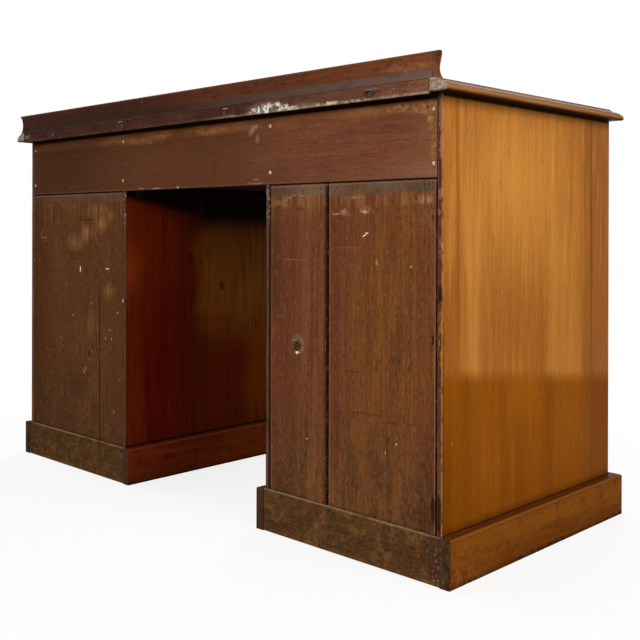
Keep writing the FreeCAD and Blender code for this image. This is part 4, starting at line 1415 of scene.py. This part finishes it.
def slotted_head(radius):
    """The head of a countersunk screw: a low dome with rolled edges and a cut slot."""
    head = lathe([(0.0, -0.0016), (0.5 * radius, -0.0016), (0.985 * radius, -0.0002), (radius, 0.0),
                  (0.97 * radius, 0.00015), (0.7 * radius, 0.0003), (0.0, 0.00035)], 28)
    head_piece = linked("head", head)
    work = bmesh.new()
    bmesh.ops.create_cube(work, size=1.0)
    bmesh.ops.scale(work, verts=work.verts, vec=(SLOT_WIDTH, SLOT_DEPTH, 3 * radius))
    bmesh.ops.translate(work, verts=work.verts, vec=(0.0, SLOT_FORWARD, 0.0))
    cutter = linked("slot", mesh_of(work, "slot"))
    cut = head_piece.modifiers.new("Slot", "BOOLEAN")
    cut.operation = "DIFFERENCE"
    cut.solver = "EXACT"
    cut.object = cutter
    mesh = baked(head_piece)
    bpy.data.objects.remove(cutter)
    shade(mesh, 35.0)
    return mesh


def nail_head(half):
    """A cut nail's small oblong head, its corners taken off, slightly domed."""
    corners = ((1.0, 0.55), (0.8, 0.72), (-0.8, 0.72), (-1.0, 0.55), (-1.0, -0.55), (-0.8, -0.72),
               (0.8, -0.72), (1.0, -0.55))
    rings = [[(share * half * x, y, share * half * z) for x, z in corners]
             for share, y in ((1.0, -0.0012), (1.0, -0.0001), (0.8, 0.0001), (0.35, 0.00018))]
    return skinned("nail head", rings, 50.0, capped=True)


def putty_dab(radius):
    """A dab of stopping, uneven and nearly flush."""
    count = 16
    rings = []
    for share, y in ((1.0, -0.0003), (0.93, 0.00015), (0.6, 0.0004), (0.25, 0.0003)):
        ring = []
        for index in range(count):
            turn = FULL_TURN * index / count
            uneven = 1.0 + 0.28 * noise.noise(Vector((math.cos(turn), math.sin(turn), 3.0)) * 1.4)
            reach = share * radius * uneven
            ring.append((reach * math.cos(turn), y, reach * math.sin(turn)))
        rings.append(ring)
    return skinned("dab", rings, 60.0, capped=True)


def islands(node):
    """The lowest and highest corner of each loose part of a CAD node."""
    work = whole(node)
    left = set(work.verts)
    found = []
    while left:
        reached = [left.pop()]
        group = []
        while reached:
            vert = reached.pop()
            group.append(vert.co.copy())
            for edge in vert.link_edges:
                other = edge.other_vert(vert)
                if other in left:
                    left.remove(other)
                    reached.append(other)
        found.append((Vector(map(min, zip(*group))), Vector(map(max, zip(*group)))))
    work.free()
    return sorted(found, key=lambda pair: tuple(pair[0]))


class DESK_OT_fixings(bpy.types.Operator):
    """Sets the screws, the nails and the old stopping into the back"""
    bl_idname = "desk.fixings"
    bl_label = "Screws and nails"

    def execute(self, context):
        sizes = context.scene.desk_sizes
        steel = finished("dark_steel", "steel")
        tree = scatter_tree()
        screws, nails, stopped = [], [], []
        for low, high in islands("rear_fixings"):
            middle = (low + high) / 2
            point = (middle.x, high.y, middle.z)
            if high.y > REAR_Y + SCREW_BEHIND:
                screws.append(point)
            else:
                nails.append(point)
                if middle.z > STOPPED_ABOVE:
                    stopped.append((middle.x, REAR_Y, middle.z))
        if not screws or not nails:
            raise RuntimeError("the packed desk has no screws or no nails in its back")
        heads = on_points(tree, screws, slotted_head(sizes.screw_head), Turn=math.pi, Seed=5, Material=steel)
        piece_from(heads, "strip_screws", "steel", "carcass", "rear_fixings")
        small = on_points(tree, nails, nail_head(sizes.nail_head), Turn=0.12, Size_Change=0.08, Seed=8,
                          Material=steel)
        piece_from(small, "back_nails", "steel", "carcass")
        dabs = on_points(tree, stopped, putty_dab(sizes.putty), Turn=math.pi, Size_Change=0.22, Seed=11,
                         Material=finished("old_putty", "putty"))
        piece_from(dabs, "nail_stopping", "back_wood", "carcass")
        return {"FINISHED"}


# Stage

CAMERA_PLACE = Vector((-1.44843, 1.39171, 0.53207))
CAMERA_YAW = 0.77100
CAMERA_PITCH = -0.00199
CAMERA_ROLL = 0.00238
CAMERA_LENS = 53.4253
CAMERA_SHIFT_Y = -0.1411
WORLD_LEVEL = 0.40
FLOOR_RADIUS = 14.0
# Name, place, point lit, size and power of each lamp
LAMPS = (("key", (-3.3, 0.3, 1.9), (-0.5, 0.0, 0.42), 2.0, 56.0),
         ("back_lamp", (-2.1, 2.7, 1.6), (-0.3, 0.26, 0.5), 1.4, 60.0),
         ("front_lamp", (1.6, -3.4, 2.4), (0.0, -0.2, 0.4), 2.4, 92.0),
         ("far_lamp", (3.2, 0.6, 2.6), (0.3, 0.0, 0.4), 2.0, 60.0))
PURE_WHITE = (1.0, 1.0, 1.0, 1.0)


def add_camera():
    """The camera at the photograph's place."""
    data = bpy.data.cameras.new("desk_camera")
    data.sensor_width = 36.0
    data.lens = CAMERA_LENS
    data.shift_y = CAMERA_SHIFT_Y
    data.clip_start = 0.05
    data.clip_end = 100.0
    camera = linked("desk_camera", data)
    forward = Vector((math.sin(CAMERA_YAW) * math.cos(CAMERA_PITCH),
                      -math.cos(CAMERA_YAW) * math.cos(CAMERA_PITCH), math.sin(CAMERA_PITCH)))
    level = Vector((-math.cos(CAMERA_YAW), -math.sin(CAMERA_YAW), 0.0))
    upright = level.cross(forward)
    right = math.cos(CAMERA_ROLL) * level + math.sin(CAMERA_ROLL) * upright
    up = -math.sin(CAMERA_ROLL) * level + math.cos(CAMERA_ROLL) * upright
    turned = Matrix((right, up, -forward)).transposed().to_4x4()
    camera.matrix_world = Matrix.Translation(CAMERA_PLACE) @ turned
    bpy.context.scene.camera = camera


def add_lamp(name, place, target, size, power):
    data = bpy.data.lights.new(name, "AREA")
    data.shape = "SQUARE"
    data.size = size
    data.energy = power
    lamp = linked(name, data)
    lamp.location = place
    lamp.rotation_euler = (Vector(target) - Vector(place)).to_track_quat("-Z", "Y").to_euler()


def seen_directly(tree):
    """1 for rays from the camera, from gloss and through glass."""
    path = tree.add("ShaderNodeLightPath").outputs
    seen = tree.math("MAXIMUM", path["Is Camera Ray"], path["Is Glossy Ray"])
    return tree.math("MAXIMUM", seen, path["Is Transmission Ray"])


def light_world():
    """A white world that lights the desk less than it shows."""
    world = bpy.data.worlds.new("soft_world")
    bpy.context.scene.world = world
    world.use_nodes = True
    world.node_tree.nodes.clear()
    tree = Tree(world.node_tree)
    strength = tree.math("MULTIPLY_ADD", seen_directly(tree), 1.0 - WORLD_LEVEL, WORLD_LEVEL)
    shade_node = tree.add("ShaderNodeBackground", {"Color": PURE_WHITE, "Strength": strength})
    tree.add("ShaderNodeOutputWorld", {"Surface": shade_node.outputs[0]})


def floor_material():
    """White where it is seen directly, with the desk's shadow still showing a little."""
    material = bpy.data.materials.new("pale_floor")
    material.use_nodes = True
    material.node_tree.nodes.clear()
    tree = Tree(material.node_tree)
    away = tree.vector("LENGTH", tree.add("ShaderNodeTexCoord").outputs["Object"])
    seen = seen_directly(tree)
    paint = tree.mix(seen, (0.35, 0.35, 0.35), (0.9, 0.9, 0.9))
    plain = tree.add("ShaderNodeBsdfDiffuse", {"Color": paint})
    glow = tree.add("ShaderNodeEmission", {"Color": PURE_WHITE, "Strength": 1.0})
    factor = tree.math("MULTIPLY", seen, tree.between(away, 0.8, 2.2, 0.80, 1.0))
    mixed = tree.add("ShaderNodeMixShader", {0: factor, 1: plain.outputs[0], 2: glow.outputs[0]})
    tree.add("ShaderNodeOutputMaterial", {"Surface": mixed.outputs[0]})
    return material


class DESK_OT_stage(bpy.types.Operator):
    """Sets the floor, the lamps and the camera"""
    bl_idname = "desk.stage"
    bl_label = "Stage"

    def execute(self, context):
        work = bmesh.new()
        bmesh.ops.create_circle(work, cap_ends=True, segments=96, radius=FLOOR_RADIUS)
        mesh = mesh_of(work, "floor")
        mesh.materials.append(floor_material())
        floor = linked("floor", mesh)
        light_world()
        for lamp in LAMPS:
            add_lamp(*lamp)
        add_camera()
        context.scene.view_settings.view_transform = "Standard"
        return {"FINISHED"}


class DESK_PT_panel(bpy.types.Panel):
    """The desk's sizes, colours and operators"""
    bl_idname = "DESK_PT_panel"
    bl_label = "Writing desk"
    bl_space_type = "VIEW_3D"
    bl_region_type = "UI"
    bl_category = "Desk"

    def draw(self, context):
        for group in (context.scene.desk_sizes, context.scene.desk_colours):
            column = self.layout.column()
            for label in group.__annotations__:
                column.prop(group, label)
        for maker in MAKERS:
            self.layout.operator(maker.bl_idname)


MAKERS = (DESK_OT_insides, DESK_OT_sides, DESK_OT_back, DESK_OT_plinth, DESK_OT_top, DESK_OT_fronts,
          DESK_OT_knobs, DESK_OT_locks, DESK_OT_fixings, DESK_OT_stage)
CLASSES = (DeskSizes, DeskColours) + MAKERS + (DESK_PT_panel,)


def register():
    for entry in CLASSES:
        bpy.utils.register_class(entry)
    bpy.types.Scene.desk_sizes = PointerProperty(type=DeskSizes)
    bpy.types.Scene.desk_colours = PointerProperty(type=DeskColours)


def unregister():
    del bpy.types.Scene.desk_colours
    del bpy.types.Scene.desk_sizes
    for entry in reversed(CLASSES):
        bpy.utils.unregister_class(entry)


def main():
    register()
    bpy.ops.desk.insides()
    bpy.ops.desk.sides()
    bpy.ops.desk.back()
    bpy.ops.desk.plinth()
    bpy.ops.desk.top()
    bpy.ops.desk.fronts()
    bpy.ops.desk.knobs()
    bpy.ops.desk.locks()
    bpy.ops.desk.fixings()
    bpy.ops.desk.stage()


if __name__ == "__main__":
    main()
